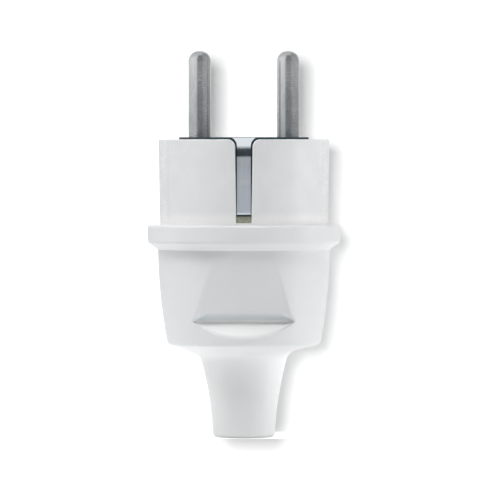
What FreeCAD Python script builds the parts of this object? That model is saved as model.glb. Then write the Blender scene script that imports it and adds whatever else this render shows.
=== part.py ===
"""Rewireable type F plug with two round pins and side earth strips, in millimetres.

The plug stands on the end of its nozzle with the pins up. Z is its axis, X the row of the pins and
-Y the front. Zero is the centre of the nozzle's end.
"""

import FreeCAD, Part
import math
import os
import re

import Sketcher

os.makedirs("parts", exist_ok=True)

SIZES = {
    # Lengths along the axis. The nozzle takes what the others leave of the face's height
    "face_height": 64.0,
    "body_length": 18.3,
    "flange_height": 5.4,
    "grip_length": 19.5,
    "neck_length": 4.5,
    "housing_screw_drop": 5.3,
    "clamp_rise": 5.78,
    # Engagement body
    "body_radius": 18.5,
    "facet_cut": 0.2,
    "facet_inset": 2.4,
    "body_draft": 0.9,
    "rim_round": 0.3,
    "guide_width": 5.4,
    "guide_depth": 2.7,
    "spigot_inset": 1.5,
    "spigot_depth": 5.0,
    "spigot_gap": 0.1,
    # Earth grooves in the engagement body
    "groove_mouth_width": 3.7,
    "groove_floor_width": 3.2,
    "groove_floor_rise": 0.5,
    "groove_corner": 1.6,
    # Contact carrier
    "insert_proud": 0.45,
    "insert_radius": 16.0,
    "insert_half_width": 13.85,
    "plate_depth": 6.5,
    "fit_gap": 0.1,
    "ledge_width": 1.1,
    "core_gap": 0.3,
    "core_depth": 10.5,
    "core_front": 5.2,
    "core_back": 10.6,
    "pillar_half": 2.8,
    "pillar_inside": 12.8,
    "rib_half": 1.4,
    "rib_rise": 2.5,
    "tongue_half": 7.5,
    "tongue_thickness": 2.4,
    "tongue_window_half": 4.0,
    "tongue_window_height": 5.0,
    # Pins and their terminal blocks
    "pin_pitch": 19.0,
    "pin_diameter": 4.8,
    "pin_reach": 19.0,
    "pin_tip_round": 2.2,
    "pin_shoulder": 0.4,
    "pin_gap": 0.05,
    "pin_hole_bevel": 0.3,
    "block_side": 6.4,
    "block_edge": 0.4,
    "block_gap": 0.1,
    "wire_bore": 3.0,
    "wire_depth": 7.0,
    "terminal_screw_drop": 5.2,
    "terminal_window": 5.6,
    # Earth bracket and its terminal
    "earth_reach": 16.4,
    "strip_thickness": 0.8,
    "strip_width": 2.95,
    "strip_gap": 0.1,
    "foot_bend": 1.4,
    "lead_drop": 3.9,
    "lead_bend": 3.0,
    "lead_angle": 50.0,
    "lead_below": 0.1,
    "bridge_width": 6.5,
    "bridge_front": 12.6,
    "bridge_back": 4.4,
    "earth_block_width": 6.0,
    "earth_block_front": 12.3,
    "earth_block_back": 5.6,
    "earth_block_height": 7.2,
    "earth_wire_place": 10.4,
    "earth_screw_rise": 4.0,
    "rivet_place": 7.2,
    "rivet_radius": 1.2,
    "rivet_head_radius": 2.0,
    "rivet_head_height": 0.7,
    "rivet_depth": 3.0,
    # Pin retainer
    "retainer_thickness": 2.4,
    "retainer_front": 13.6,
    "retainer_notch_gap": 0.2,
    "retainer_wire_hole": 4.0,
    "retainer_funnel": 0.6,
    "retainer_screw_x": 9.4,
    "retainer_screw_y": 7.0,
    "retainer_counterbore": 1.5,
    "retainer_recess": 0.8,
    # Cord clamp
    "cable_radius": 4.1,
    "clamp_screw_x": 6.4,
    "clamp_base_half": 10.0,
    "clamp_base_face": 3.0,
    "clamp_base_back": 9.8,
    "clamp_base_height": 7.6,
    "clamp_bar_half": 9.6,
    "clamp_bar_face": 2.4,
    "clamp_bar_thickness": 2.2,
    "clamp_arch_wall": 1.8,
    "clamp_bar_height": 6.0,
    "clamp_bar_round": 1.5,
    "clamp_nut_seat": 7.2,
    # Housing screw
    "boss_radius": 4.5,
    "boss_face": 11.6,
    "boss_gap": 0.1,
    "hood_boss_radius": 4.2,
    "housing_screw_seat": 13.7,
    "housing_counterbore": 3.3,
    # Screws and nuts
    "small_screw_radius": 1.25,
    "small_head_radius": 2.0,
    "small_head_height": 1.4,
    "small_screw_length": 4.6,
    "retainer_screw_length": 7.0,
    "clamp_screw_radius": 1.45,
    "clamp_head_radius": 2.5,
    "clamp_head_height": 2.0,
    "clamp_screw_length": 14.4,
    "housing_screw_radius": 1.75,
    "housing_head_radius": 3.0,
    "housing_head_height": 1.9,
    "housing_screw_length": 6.1,
    "screw_gap": 0.05,
    "hole_gap": 0.15,
    "slot_width": 0.8,
    "slot_depth": 0.9,
    "head_round": 0.3,
    "clamp_nut_side": 5.5,
    "clamp_nut_thickness": 2.4,
    "housing_nut_side": 5.5,
    "housing_nut_thickness": 2.1,
    "nut_gap": 0.1,
    # Outside of the hood
    "flange_radius": 20.7,
    "flange_edge_inset": 0.55,
    "flange_edge_height": 1.25,
    "flange_edge_round": 0.9,
    "flange_top_round": 0.6,
    "grip_top_radius": 18.45,
    "grip_bottom_radius": 16.52,
    "grip_bulge": 113.0,
    "shoulder_radius": 15.2,
    "shoulder_drop": 1.08,
    "shoulder_round": 1.2,
    "neck_radius": 10.9,
    "neck_rise": 2.35,
    "neck_round": 3.08,
    "nozzle_top_radius": 9.05,
    "nozzle_end_radius": 6.68,
    "nozzle_curve": 76.0,
    "nozzle_end_round": 0.9,
    # Thumb recesses
    "recess_reach": 13.4,
    "recess_rise": 4.85,
    "recess_floor_round": 2.4,
    "recess_tilt": 17.8,
    "recess_ledge": 45.0,
    "recess_edge_round": 1.0,
    # Inside of the hood
    "hood_wall": 2.3,
    "hood_floor_wall": 2.5,
    "bore_radius": 4.2,
    "bore_bevel": 0.5,
    "bore_rise": 1.3,
}

# Places and radii that follow from the sizes
FOLLOWING = {
    "flange_top": "face_height - body_length",
    "flange_bottom": "flange_top - flange_height",
    "grip_bottom": "flange_bottom - grip_length",
    "nozzle_top": "grip_bottom - neck_length",
    "hood_floor": "grip_bottom - shoulder_drop + hood_floor_wall",
    "clamp_height": "hood_floor + clamp_rise",
    "housing_screw_height": "flange_bottom - housing_screw_drop",
    "recess_height": "grip_bottom + recess_rise",
    "bore_top": "nozzle_top + bore_rise",
    "body_half_width": "body_radius - facet_cut",
    "facet_edge": "body_radius - facet_inset",
    "spigot_radius": "body_radius - spigot_inset",
    "pin_root_radius": "pin_diameter / 2 + pin_shoulder",
    "flange_edge_radius": "flange_radius - flange_edge_inset",
}

RIM = "face_height"
INSERT_TOP = "(face_height + insert_proud)"
PIN_TIP = "(face_height + pin_reach)"
SEAT = "(face_height - plate_depth)"
CORE_FOOT = "(face_height - plate_depth - core_depth)"
CAVITY_HALF = "(insert_half_width + fit_gap)"
CAVITY_RADIUS = "(insert_radius + fit_gap - ledge_width)"
CORE_HALF = "(insert_half_width + fit_gap - core_gap)"
CORE_RADIUS = "(insert_radius + fit_gap - ledge_width - core_gap)"
PIN_X = "pin_pitch / 2"
TONGUE_FACE = "(core_back - tongue_thickness)"
BRIDGE_TOP = f"({CORE_FOOT} + strip_thickness)"
LEAD_START = "(face_height - lead_drop)"
LEAD_TOP = f"({INSERT_TOP} - lead_below)"

OUT, BACK, BOTH = "out", "back", "both"
LEFT, RIGHT = 1, -1
OVERCUT = "1"
HEXAGON_HALF_ANGLE = 30
SAME_PLACE = 0.01
LEAST_CUT = 0.001

doc = FreeCAD.newDocument("Plug")
sheet = doc.addObject("Spreadsheet::Sheet", "Sizes")
for row, (name, size) in enumerate((SIZES | FOLLOWING).items(), start=1):
    sheet.set(f"A{row}", name)
    sheet.set(f"B{row}", f"={size}")
    sheet.setAlias(f"B{row}", name)
doc.recompute()


def bound(text):
    """The expression with each size name pointed at its cell."""
    names = SIZES | FOLLOWING
    return re.sub(r"[a-z_]+", lambda word: f"Sizes.{word[0]}" if word[0] in names else word[0], text)


def number(text):
    """What the expression measures with the present sizes."""
    result = sheet.evalExpression(bound(text))
    return getattr(result, "Value", result)


def circle_height(radius, distance):
    """Half the chord of a circle at a distance from its centre."""
    return f"sqrt(({radius})^2 - ({distance})^2)"


def new_body(name):
    return doc.addObject("PartDesign::Body", name)


def sketch_on(body, role, lift="0"):
    """An empty sketch on one of the body's own planes, lifted along the plane's normal."""
    sketch = body.newObject("Sketcher::SketchObject", "Sketch")
    plane = next(item for item in body.Origin.OriginFeatures if item.Role == role)
    sketch.AttachmentSupport = [(plane, "")]
    sketch.MapMode = "FlatFace"
    sketch.setExpression(".AttachmentOffset.Base.z", bound(lift))
    return sketch


def hold(sketch, kind, places, text):
    """A dimension of the sketch that follows an expression."""
    index = sketch.addConstraint(Sketcher.Constraint(kind, *places, number(text)))
    sketch.renameConstraint(index, f"size{index}")
    sketch.setExpression(f".Constraints.size{index}", bound(text))


def hold_point(sketch, edge, end, x, y):
    """Holds one point of the sketch at a place measured from its axes."""
    for kind, axis, text in (("DistanceX", -2, x), ("DistanceY", -1, y)):
        if text == "0":
            sketch.addConstraint(Sketcher.Constraint("PointOnObject", edge, end, axis))
        else:
            hold(sketch, kind, (-1, 1, edge, end), text)


def arc_centre(start, finish, radius, turn):
    """Centre of the short arc between two points that turns left or right."""
    chord = finish - start
    rise = math.sqrt(max(radius**2 - chord.Length**2 / 4, 0.0))
    side = FreeCAD.Vector(-chord.y, chord.x, 0).normalize()
    return start + chord / 2 + side * rise * turn


def outline(sketch, steps):
    """Draws a closed outline. A step is the point that a line runs to, or the point, radius and turn
    of an arc; the last point joins the first."""
    points = [FreeCAD.Vector(number(step[0]), number(step[1]), 0) for step in steps]
    edges = []
    for index, step in enumerate(steps):
        start, finish = points[index - 1], points[index]
        if len(step) == 2:
            edge = sketch.addGeometry(Part.LineSegment(start, finish))
            edges.append((edge, 1, 2))
            continue
        radius, turn = step[2:]
        centre = arc_centre(start, finish, number(radius), turn)
        angles = [math.atan2(point.y - centre.y, point.x - centre.x) for point in (start, finish)]
        first, last = angles[::turn]
        if last < first:
            last += 2 * math.pi
        circle = Part.Circle(centre, FreeCAD.Vector(0, 0, 1), number(radius))
        edge = sketch.addGeometry(Part.ArcOfCircle(circle, first, last))
        edges.append((edge, 1, 2) if turn == LEFT else (edge, 2, 1))
        hold(sketch, "Radius", (edge,), radius)
    for index, step in enumerate(steps):
        edge, _, finish = edges[index]
        following, start, _ = edges[(index + 1) % len(edges)]
        sketch.addConstraint(Sketcher.Constraint("Coincident", edge, finish, following, start))
        hold_point(sketch, edge, finish, step[0], step[1])
    return sketch


def rectangle(sketch, low_x, low_y, high_x, high_y):
    return outline(sketch, [(low_x, low_y), (high_x, low_y), (high_x, high_y), (low_x, high_y)])


def circle(sketch, x, y, radius):
    edge = sketch.addGeometry(
        Part.Circle(FreeCAD.Vector(number(x), number(y), 0), FreeCAD.Vector(0, 0, 1), number(radius))
    )
    hold_point(sketch, edge, 3, x, y)
    hold(sketch, "Radius", (edge,), radius)
    return sketch


def circle_pair(sketch, x, y, radius):
    """Two equal circles, one each side of the sketch's upright axis."""
    circle(sketch, x, y, radius)
    return circle(sketch, f"-({x})", y, radius)


def clipped_circle(sketch, radius, half_width):
    """A circle with its two sides cut straight."""
    corner = circle_height(radius, half_width)
    return outline(
        sketch,
        [
            (half_width, f"-{corner}", radius, LEFT),
            (half_width, corner),
            (f"-{half_width}", corner, radius, LEFT),
            (f"-{half_width}", f"-{corner}"),
        ],
    )


def extrude(kind, body, sketch, length, way):
    feature = body.newObject(f"PartDesign::{kind}", kind)
    feature.Profile = sketch
    feature.setExpression("Length", bound(length))
    if way == BOTH:
        feature.SideType = "Symmetric"
    feature.Reversed = way == BACK
    return feature


def pad(body, sketch, length, way=OUT):
    """Adds material along the plane's normal, against it, or both ways from its middle."""
    return extrude("Pad", body, sketch, length, way)


def cut(body, sketch, length, way=BACK):
    """Takes material away along the plane's normal, against it, or both ways from its middle."""
    pocket_way = {OUT: BACK, BACK: OUT, BOTH: BOTH}[way]
    return extrude("Pocket", body, sketch, length, pocket_way)


def revolve(body, sketch):
    """Turns the sketch about its upright axis."""
    feature = body.newObject("PartDesign::Revolution", "Revolution")
    feature.Profile = sketch
    feature.ReferenceAxis = (sketch, ["V_Axis"])
    return feature


def soften(kind, size, body, feature, text, wanted):
    """Rounds or bevels the edges of a feature whose middles pass a test."""
    doc.recompute()
    names = []
    for index, edge in enumerate(feature.Shape.Edges, start=1):
        middle = edge.valueAt((edge.FirstParameter + edge.LastParameter) / 2)
        if wanted(middle, edge):
            names.append(f"Edge{index}")
    dressed = body.newObject(f"PartDesign::{kind}", kind)
    dressed.Base = (feature, names)
    dressed.setExpression(size, bound(text))
    return dressed


def round_edges(body, feature, radius, wanted):
    return soften("Fillet", "Radius", body, feature, radius, wanted)


def bevel_edges(body, feature, size, wanted):
    return soften("Chamfer", "Size", body, feature, size, wanted)


def near(first, second):
    return abs(first - second) < SAME_PLACE


def is_upright(edge):
    """Whether an edge is straight and runs along Z."""
    ends = [vertex.Point for vertex in edge.Vertexes]
    return len(ends) == 2 and near(ends[0].x, ends[1].x) and near(ends[0].y, ends[1].y)


def place(body, x="0", y="0", z="0", axis=(0, 0, 1), angle=0):
    """Turns a finished body and moves it to its place."""
    body.Placement = FreeCAD.Placement(
        FreeCAD.Vector(), FreeCAD.Rotation(FreeCAD.Vector(*axis), angle)
    )
    for letter, text in (("x", x), ("y", y), ("z", z)):
        body.setExpression(f".Placement.Base.{letter}", bound(text))
    return body


def earth_groove_outline(sketch, half, floor_half, floor, corner, top):
    """Outline of an earth groove seen from the front, with rounded corners at its open top."""
    shoulder = f"({half} + {corner})"
    return outline(
        sketch,
        [
            (f"-{floor_half}", floor),
            (floor_half, floor),
            (half, f"{top} - {corner}"),
            (shoulder, top, corner, RIGHT),
            (shoulder, f"{top} + {OVERCUT}"),
            (f"-{shoulder}", f"{top} + {OVERCUT}"),
            (f"-{shoulder}", top),
            (f"-{half}", f"{top} - {corner}", corner, RIGHT),
        ],
    )


def make_front_shell():
    """White engagement body: draughted cup with side facets, guide grooves and earth grooves, and a
    round spigot that sits in the hood's flange."""
    body = new_body("front_shell")
    facet_y = circle_height("body_radius", "facet_edge")
    outside = outline(
        sketch_on(body, "XY_Plane", RIM),
        [
            ("facet_edge", f"-{facet_y}", "body_radius", LEFT),
            ("body_half_width", "-guide_width / 2"),
            ("body_half_width", "guide_width / 2"),
            ("facet_edge", facet_y),
            ("-facet_edge", facet_y, "body_radius", LEFT),
            ("-body_half_width", "guide_width / 2"),
            ("-body_half_width", "-guide_width / 2"),
            ("-facet_edge", f"-{facet_y}"),
        ],
    )
    cup = pad(body, outside, "face_height - flange_top", BACK)
    cup.setExpression("TaperAngle", bound("-body_draft"))
    spigot = circle(sketch_on(body, "XY_Plane", "flange_top"), "0", "0", "spigot_radius")
    pad(body, spigot, "spigot_depth", BACK)

    guides = sketch_on(body, "XY_Plane", RIM)
    for side in ("", "-"):
        inner = f"{side}(body_half_width - guide_depth)"
        outer = f"{side}(body_half_width + {OVERCUT})"
        rectangle(guides, inner, "-guide_width / 2", outer, "guide_width / 2")
    cut(body, guides, "face_height - flange_top")

    seat = clipped_circle(sketch_on(body, "XY_Plane", RIM), "(insert_radius + fit_gap)", CAVITY_HALF)
    cut(body, seat, "plate_depth")
    hollow = clipped_circle(sketch_on(body, "XY_Plane", RIM), CAVITY_RADIUS, CAVITY_HALF)
    cut(body, hollow, "face_height - flange_top + spigot_depth")

    grooves = earth_groove_outline(
        sketch_on(body, "XZ_Plane"),
        "groove_mouth_width / 2",
        "groove_floor_width / 2",
        "flange_top + groove_floor_rise",
        "groove_corner",
        RIM,
    )
    finished = cut(body, grooves, f"2 * (body_radius + {OVERCUT})", BOTH)

    def on_rim(middle, _edge):
        from_axis = math.hypot(middle.x, middle.y)
        return near(middle.z, number(RIM)) and from_axis > number(f"insert_radius + {OVERCUT}")

    round_edges(body, finished, "rim_round", on_rim)
    return body


def carrier_core(body):
    """The carrier's face plate, the block behind it, and the pillars behind the earth strips."""
    plate = clipped_circle(sketch_on(body, "XY_Plane", INSERT_TOP), "insert_radius", "insert_half_width")
    pad(body, plate, "plate_depth + insert_proud", BACK)

    side = circle_height(CORE_RADIUS, CORE_HALF)
    rear = circle_height(CORE_RADIUS, "core_back")
    block = outline(
        sketch_on(body, "XY_Plane", SEAT),
        [
            (f"-{CORE_HALF}", "-core_front"),
            (CORE_HALF, "-core_front"),
            (CORE_HALF, side),
            (rear, "core_back", CORE_RADIUS, LEFT),
            (f"-{rear}", "core_back"),
            (f"-{CORE_HALF}", side, CORE_RADIUS, LEFT),
        ],
    )
    pad(body, block, "core_depth", BACK)

    pillars = sketch_on(body, "XY_Plane", SEAT)
    reach = circle_height(CORE_RADIUS, "pillar_half")
    for sign, turn in (("", RIGHT), ("-", LEFT)):
        outline(
            pillars,
            [
                ("-pillar_half", f"{sign}pillar_inside"),
                ("-pillar_half", f"{sign}{reach}"),
                ("pillar_half", f"{sign}{reach}", CORE_RADIUS, turn),
                ("pillar_half", f"{sign}pillar_inside"),
            ],
        )
    pad(body, pillars, "core_depth", BACK)


def carrier_earth_ways(body):
    """The carrier's grooves for the earth strips, the ribs that back them and the bridge's channel."""
    half = "(strip_width / 2 + strip_gap)"
    corner = f"(groove_mouth_width / 2 + groove_corner - {half})"
    inner_end = f"({lead_point('(lead_bend - strip_thickness)')} - strip_gap)"
    groove = earth_groove_outline(
        sketch_on(body, "XZ_Plane", inner_end), half, half, SEAT, corner, INSERT_TOP
    )
    front_groove = cut(body, groove, "insert_radius", OUT)
    rear_groove = body.newObject("PartDesign::Mirrored", "Mirrored")
    rear_groove.Originals = [front_groove]
    rear_groove.MirrorPlane = (
        next(item for item in body.Origin.OriginFeatures if item.Role == "XZ_Plane"),
        [""],
    )
    body.Tip = rear_groove
    doc.recompute()

    ribs = sketch_on(body, "XY_Plane", f"{SEAT} + rib_rise")
    rib_face = "(earth_reach - strip_thickness - strip_gap)"
    for sign in ("", "-"):
        rectangle(ribs, "-rib_half", f"{sign}(pillar_inside + {OVERCUT})", "rib_half", f"{sign}{rib_face}")
    pad(body, ribs, "core_depth + rib_rise - foot_bend", BACK)

    narrow = rectangle(
        sketch_on(body, "XY_Plane", CORE_FOOT), f"-{half}", "-earth_reach", half, "earth_reach"
    )
    channel_depth = "(strip_thickness + strip_gap)"
    cut(body, narrow, channel_depth, OUT)
    wide_half = "(bridge_width / 2 + strip_gap)"
    wide = rectangle(
        sketch_on(body, "XY_Plane", CORE_FOOT),
        f"-{wide_half}",
        "-(bridge_front + strip_gap)",
        wide_half,
        "-(bridge_back - strip_gap)",
    )
    cut(body, wide, channel_depth, OUT)


def carrier_terminal_ways(body):
    """The carrier's holes for the pins, their blocks and screws, and the retainer's screws."""
    pins = circle_pair(sketch_on(body, "XY_Plane", INSERT_TOP), PIN_X, "0", "pin_root_radius + pin_gap")
    cut(body, pins, "plate_depth + insert_proud")
    blocks = sketch_on(body, "XY_Plane", CORE_FOOT)
    half = "(block_side / 2 + block_gap)"
    for side in ("", "-"):
        rectangle(
            blocks, f"{side}({PIN_X} - {half})", f"-{half}", f"{side}({PIN_X} + {half})", half
        )
    cut(body, blocks, "core_depth", OUT)
    windows = circle_pair(
        sketch_on(body, "XZ_Plane", "core_front"),
        PIN_X,
        f"{SEAT} - terminal_screw_drop",
        "terminal_window / 2",
    )
    cut(body, windows, f"core_front - {half}")
    pilots = circle_pair(
        sketch_on(body, "XY_Plane", CORE_FOOT),
        "retainer_screw_x",
        "retainer_screw_y",
        "small_screw_radius + screw_gap",
    )
    cut(body, pilots, "retainer_screw_length", OUT)


def carrier_tongue(body):
    """The tongue that reaches back along the cable, with its clamp base and the housing nut's boss."""
    foot = "(clamp_height - clamp_base_height / 2)"
    tongue = rectangle(
        sketch_on(body, "XY_Plane", CORE_FOOT), "-tongue_half", TONGUE_FACE, "tongue_half", "core_back"
    )
    pad(body, tongue, f"{CORE_FOOT} - {foot}", BACK)

    saddle = circle_height("cable_radius", "clamp_base_face")
    base = outline(
        sketch_on(body, "XY_Plane", "clamp_height"),
        [
            (saddle, "clamp_base_face", "cable_radius", RIGHT),
            ("clamp_base_half", "clamp_base_face"),
            ("clamp_base_half", "clamp_base_back"),
            ("-clamp_base_half", "clamp_base_back"),
            ("-clamp_base_half", "clamp_base_face"),
            (f"-{saddle}", "clamp_base_face"),
        ],
    )
    pad(body, base, "clamp_base_height", BOTH)

    boss = circle(sketch_on(body, "XZ_Plane", "-boss_face"), "0", "housing_screw_height", "boss_radius")
    pad(body, boss, f"boss_face - {TONGUE_FACE}")

    window = rectangle(
        sketch_on(body, "XZ_Plane", "-core_back"),
        "-tongue_window_half",
        f"{CORE_FOOT} - tongue_window_height",
        "tongue_window_half",
        CORE_FOOT,
    )
    cut(body, window, "tongue_thickness", OUT)

    nut_slot = rectangle(
        sketch_on(body, "XZ_Plane", f"-{TONGUE_FACE}"),
        "-(housing_nut_side / 2 + nut_gap)",
        "housing_screw_height - housing_nut_side / 2 - nut_gap",
        "housing_nut_side / 2 + nut_gap",
        "housing_screw_height + housing_nut_side / 2 + nut_gap",
    )
    cut(body, nut_slot, "housing_nut_thickness")
    screw_way = circle(
        sketch_on(body, "XZ_Plane", f"-{TONGUE_FACE}"),
        "0",
        "housing_screw_height",
        "housing_screw_radius + hole_gap",
    )
    cut(body, screw_way, f"boss_face - {TONGUE_FACE}")

    nut_pockets = sketch_on(body, "XZ_Plane", "-core_back")
    for side in ("", "-"):
        hexagon(nut_pockets, f"{side}clamp_screw_x", "clamp_height", "(clamp_nut_side / 2 + nut_gap)")
    cut(body, nut_pockets, "core_back - clamp_nut_seat", OUT)
    clamp_ways = circle_pair(
        sketch_on(body, "XZ_Plane", "-core_back"),
        "clamp_screw_x",
        "clamp_height",
        "clamp_screw_radius + hole_gap",
    )
    return cut(body, clamp_ways, "core_back - clamp_base_face", OUT)


def make_contact_carrier():
    """Dark insert: face plate on the shell's ledge, terminal housing, and the tongue of the clamp."""
    body = new_body("contact_carrier")
    carrier_core(body)
    carrier_earth_ways(body)
    carrier_terminal_ways(body)
    last = carrier_tongue(body)

    def on_pin_hole(middle, edge):
        return near(middle.z, number(INSERT_TOP)) and isinstance(edge.Curve, Part.Circle) and near(
            edge.Curve.Radius, number("pin_root_radius + pin_gap")
        )

    bevel_edges(body, last, "pin_hole_bevel", on_pin_hole)
    return body


def hexagon(sketch, x, y, half_side):
    """A hexagon with two sides upright."""
    corner = f"({half_side} / cos({HEXAGON_HALF_ANGLE}))"
    steps = [
        (f"{x} + {half_side}", f"{y} - {corner} / 2"),
        (f"{x} + {half_side}", f"{y} + {corner} / 2"),
        (x, f"{y} + {corner}"),
        (f"{x} - {half_side}", f"{y} + {corner} / 2"),
        (f"{x} - {half_side}", f"{y} - {corner} / 2"),
        (x, f"{y} - {corner}"),
    ]
    return outline(sketch, steps)


def make_pin(name, side):
    """Turned round pin with a rounded tip, a thicker root in the carrier's plate, and the square
    terminal block behind it."""
    body = new_body(name)
    shank = circle(sketch_on(body, "XY_Plane", PIN_TIP), "0", "0", "pin_diameter / 2")
    rod = pad(body, shank, "pin_reach - insert_proud", BACK)
    round_edges(body, rod, "pin_tip_round", lambda middle, _edge: near(middle.z, number(PIN_TIP)))
    root = circle(sketch_on(body, "XY_Plane", INSERT_TOP), "0", "0", "pin_root_radius")
    pad(body, root, "plate_depth + insert_proud", BACK)
    half = "(block_side / 2)"
    block_outline = rectangle(sketch_on(body, "XY_Plane", SEAT), f"-{half}", f"-{half}", half, half)
    pad(body, block_outline, "core_depth", BACK)
    wire = circle(sketch_on(body, "XY_Plane", CORE_FOOT), "0", "0", "wire_bore / 2")
    cut(body, wire, "wire_depth", OUT)
    thread = circle(
        sketch_on(body, "XZ_Plane", half),
        "0",
        f"{SEAT} - terminal_screw_drop",
        "small_screw_radius + screw_gap",
    )
    last = cut(body, thread, "block_side")

    def on_block_corner(middle, edge):
        return is_upright(edge) and near(abs(middle.x), number(half)) and near(abs(middle.y), number(half))

    round_edges(body, last, "block_edge", on_block_corner)
    return place(body, x=f"{side}{PIN_X}")


def make_screw(name, size, length, **where):
    """Slotted screw with a round head. Its head stands on its own zero level, and its shank goes down."""
    body = new_body(name)
    shank, head, height = f"{size}_screw_radius", f"{size}_head_radius", f"{size}_head_height"
    profile = outline(
        sketch_on(body, "XZ_Plane"),
        [
            ("0", f"-{length}"),
            (f"{shank} - head_round", f"-{length}"),
            (shank, f"-({length} - head_round)"),
            (shank, "0"),
            (head, "0"),
            (head, f"{height} - head_round"),
            (f"{head} - head_round", height, "head_round", LEFT),
            ("0", height),
        ],
    )
    revolve(body, profile)
    slot = rectangle(
        sketch_on(body, "XZ_Plane"),
        "-slot_width / 2",
        f"{height} - slot_depth",
        "slot_width / 2",
        f"{height} + {OVERCUT}",
    )
    cut(body, slot, f"2 * ({head} + {OVERCUT})", BOTH)
    return place(body, **where)


def make_clamp_nut(name, side):
    """Hexagon nut in the back of the clamp base."""
    body = new_body(name)
    sketch = hexagon(sketch_on(body, "XZ_Plane"), "0", "0", "(clamp_nut_side / 2)")
    circle(sketch, "0", "0", "clamp_screw_radius + screw_gap")
    pad(body, sketch, "clamp_nut_thickness", BACK)
    return place(body, x=f"{side}clamp_screw_x", y="clamp_nut_seat", z="clamp_height")


def make_housing_nut():
    """Square nut in the tongue's boss."""
    body = new_body("housing_nut")
    half = "housing_nut_side / 2"
    sketch = rectangle(sketch_on(body, "XZ_Plane"), f"-{half}", f"-{half}", half, half)
    circle(sketch, "0", "0", "housing_screw_radius + screw_gap")
    pad(body, sketch, "housing_nut_thickness", BACK)
    return place(body, y=TONGUE_FACE, z="housing_screw_height")


def lead_point(radius):
    """How far from the axis a face of the strip's lead-in ends, for that face's bend radius."""
    rise = f"({LEAD_TOP} - {LEAD_START} - {radius} * sin(lead_angle))"
    return f"(earth_reach - lead_bend + {radius} * cos(lead_angle) - {rise} * tan(lead_angle))"


def strip_face(inset):
    """One leg's face from the bridge up to the lead-in's end, at a depth in the strip."""
    foot_radius = f"(foot_bend - {inset})"
    lead_radius = f"(lead_bend - {inset})"
    level = f"({CORE_FOOT} + {inset})"
    leg = f"(earth_reach - {inset})"
    bend_y = f"(earth_reach - lead_bend + {lead_radius} * cos(lead_angle))"
    bend_z = f"({LEAD_START} + {lead_radius} * sin(lead_angle))"
    return [
        ("(earth_reach - foot_bend)", level),
        (leg, f"({CORE_FOOT} + foot_bend)", foot_radius),
        (leg, LEAD_START),
        (bend_y, bend_z, lead_radius),
        (lead_point(lead_radius), LEAD_TOP),
    ]


def walk_back(face, side, turn):
    """A strip face walked from its end, each arc now leading to the point before it."""
    steps = []
    arc = ()
    for step in reversed(face):
        steps.append((f"{side}{step[0]}", step[1], *arc))
        arc = (step[2], turn) if len(step) == 3 else ()
    return steps


def walk_on(face, side, turn):
    """A strip face walked from its start."""
    return [(f"{side}{step[0]}", step[1], *((step[2], turn) if len(step) == 3 else ())) for step in face]


def make_earth_bracket():
    """Earth strip bent into a U: a bridge behind the face, a leg in each groove, and flared lead-ins."""
    body = new_body("earth_bracket")
    outer, inner = strip_face("0"), strip_face("strip_thickness")
    rear_leg = walk_on(outer, "", LEFT) + walk_back(inner, "", RIGHT)
    front_leg = walk_on(inner, "-", RIGHT) + walk_back(outer, "-", LEFT)
    side_view = outline(sketch_on(body, "YZ_Plane"), rear_leg + front_leg)
    pad(body, side_view, "bridge_width", BOTH)

    half = "(strip_width / 2)"
    flare_x = "(groove_mouth_width / 2 + groove_corner)"
    flare = f"({flare_x} - {half})"
    flare_z = f"({INSERT_TOP} - ({flare_x} - {half} - strip_gap))"
    beside = f"(bridge_width / 2 + {OVERCUT})"
    leg_foot = f"({CORE_FOOT} + foot_bend)"
    legs = sketch_on(body, "XZ_Plane")
    for side, turn in (("", LEFT), ("-", RIGHT)):
        outline(
            legs,
            [
                (f"{side}{half}", leg_foot),
                (f"{side}{beside}", leg_foot),
                (f"{side}{beside}", f"{flare_z} + {flare}"),
                (f"{side}{flare_x}", f"{flare_z} + {flare}"),
                (f"{side}{half}", flare_z, flare, turn),
            ],
        )
    cut(body, legs, f"2 * (earth_reach + {OVERCUT})", BOTH)

    ends = sketch_on(body, "XY_Plane", CORE_FOOT)
    for side in ("", "-"):
        rectangle(
            ends, f"{side}{half}", f"-(earth_reach + {OVERCUT})", f"{side}{beside}", "-bridge_front"
        )
        rectangle(ends, f"{side}{half}", "-bridge_back", f"{side}{beside}", f"earth_reach + {OVERCUT}")
    cut(body, ends, "foot_bend", OUT)
    holes = sketch_on(body, "XY_Plane", CORE_FOOT)
    circle(holes, "0", "-earth_wire_place", "wire_bore / 2 + hole_gap")
    circle(holes, "0", "-rivet_place", "rivet_radius + screw_gap")
    cut(body, holes, "strip_thickness", OUT)
    return body


def make_earth_terminal():
    """Terminal block riveted on the earth bracket's bridge."""
    body = new_body("earth_terminal")
    half = "(earth_block_width / 2)"
    foot = rectangle(
        sketch_on(body, "XY_Plane", BRIDGE_TOP), f"-{half}", "-earth_block_front", half, "-earth_block_back"
    )
    pad(body, foot, "earth_block_height")
    wire = circle(sketch_on(body, "XY_Plane", BRIDGE_TOP), "0", "-earth_wire_place", "wire_bore / 2")
    cut(body, wire, "earth_block_height - strip_thickness", OUT)
    rivet = circle(
        sketch_on(body, "XY_Plane", BRIDGE_TOP), "0", "-rivet_place", "rivet_radius + screw_gap"
    )
    cut(body, rivet, "rivet_depth + screw_gap", OUT)
    thread = circle(
        sketch_on(body, "YZ_Plane", half),
        "-earth_wire_place",
        f"{BRIDGE_TOP} + earth_screw_rise",
        "small_screw_radius + screw_gap",
    )
    last = cut(body, thread, "earth_block_width")

    def on_corner(middle, edge):
        return is_upright(edge) and near(abs(middle.x), number(half))

    round_edges(body, last, "block_edge", on_corner)
    return body


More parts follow.
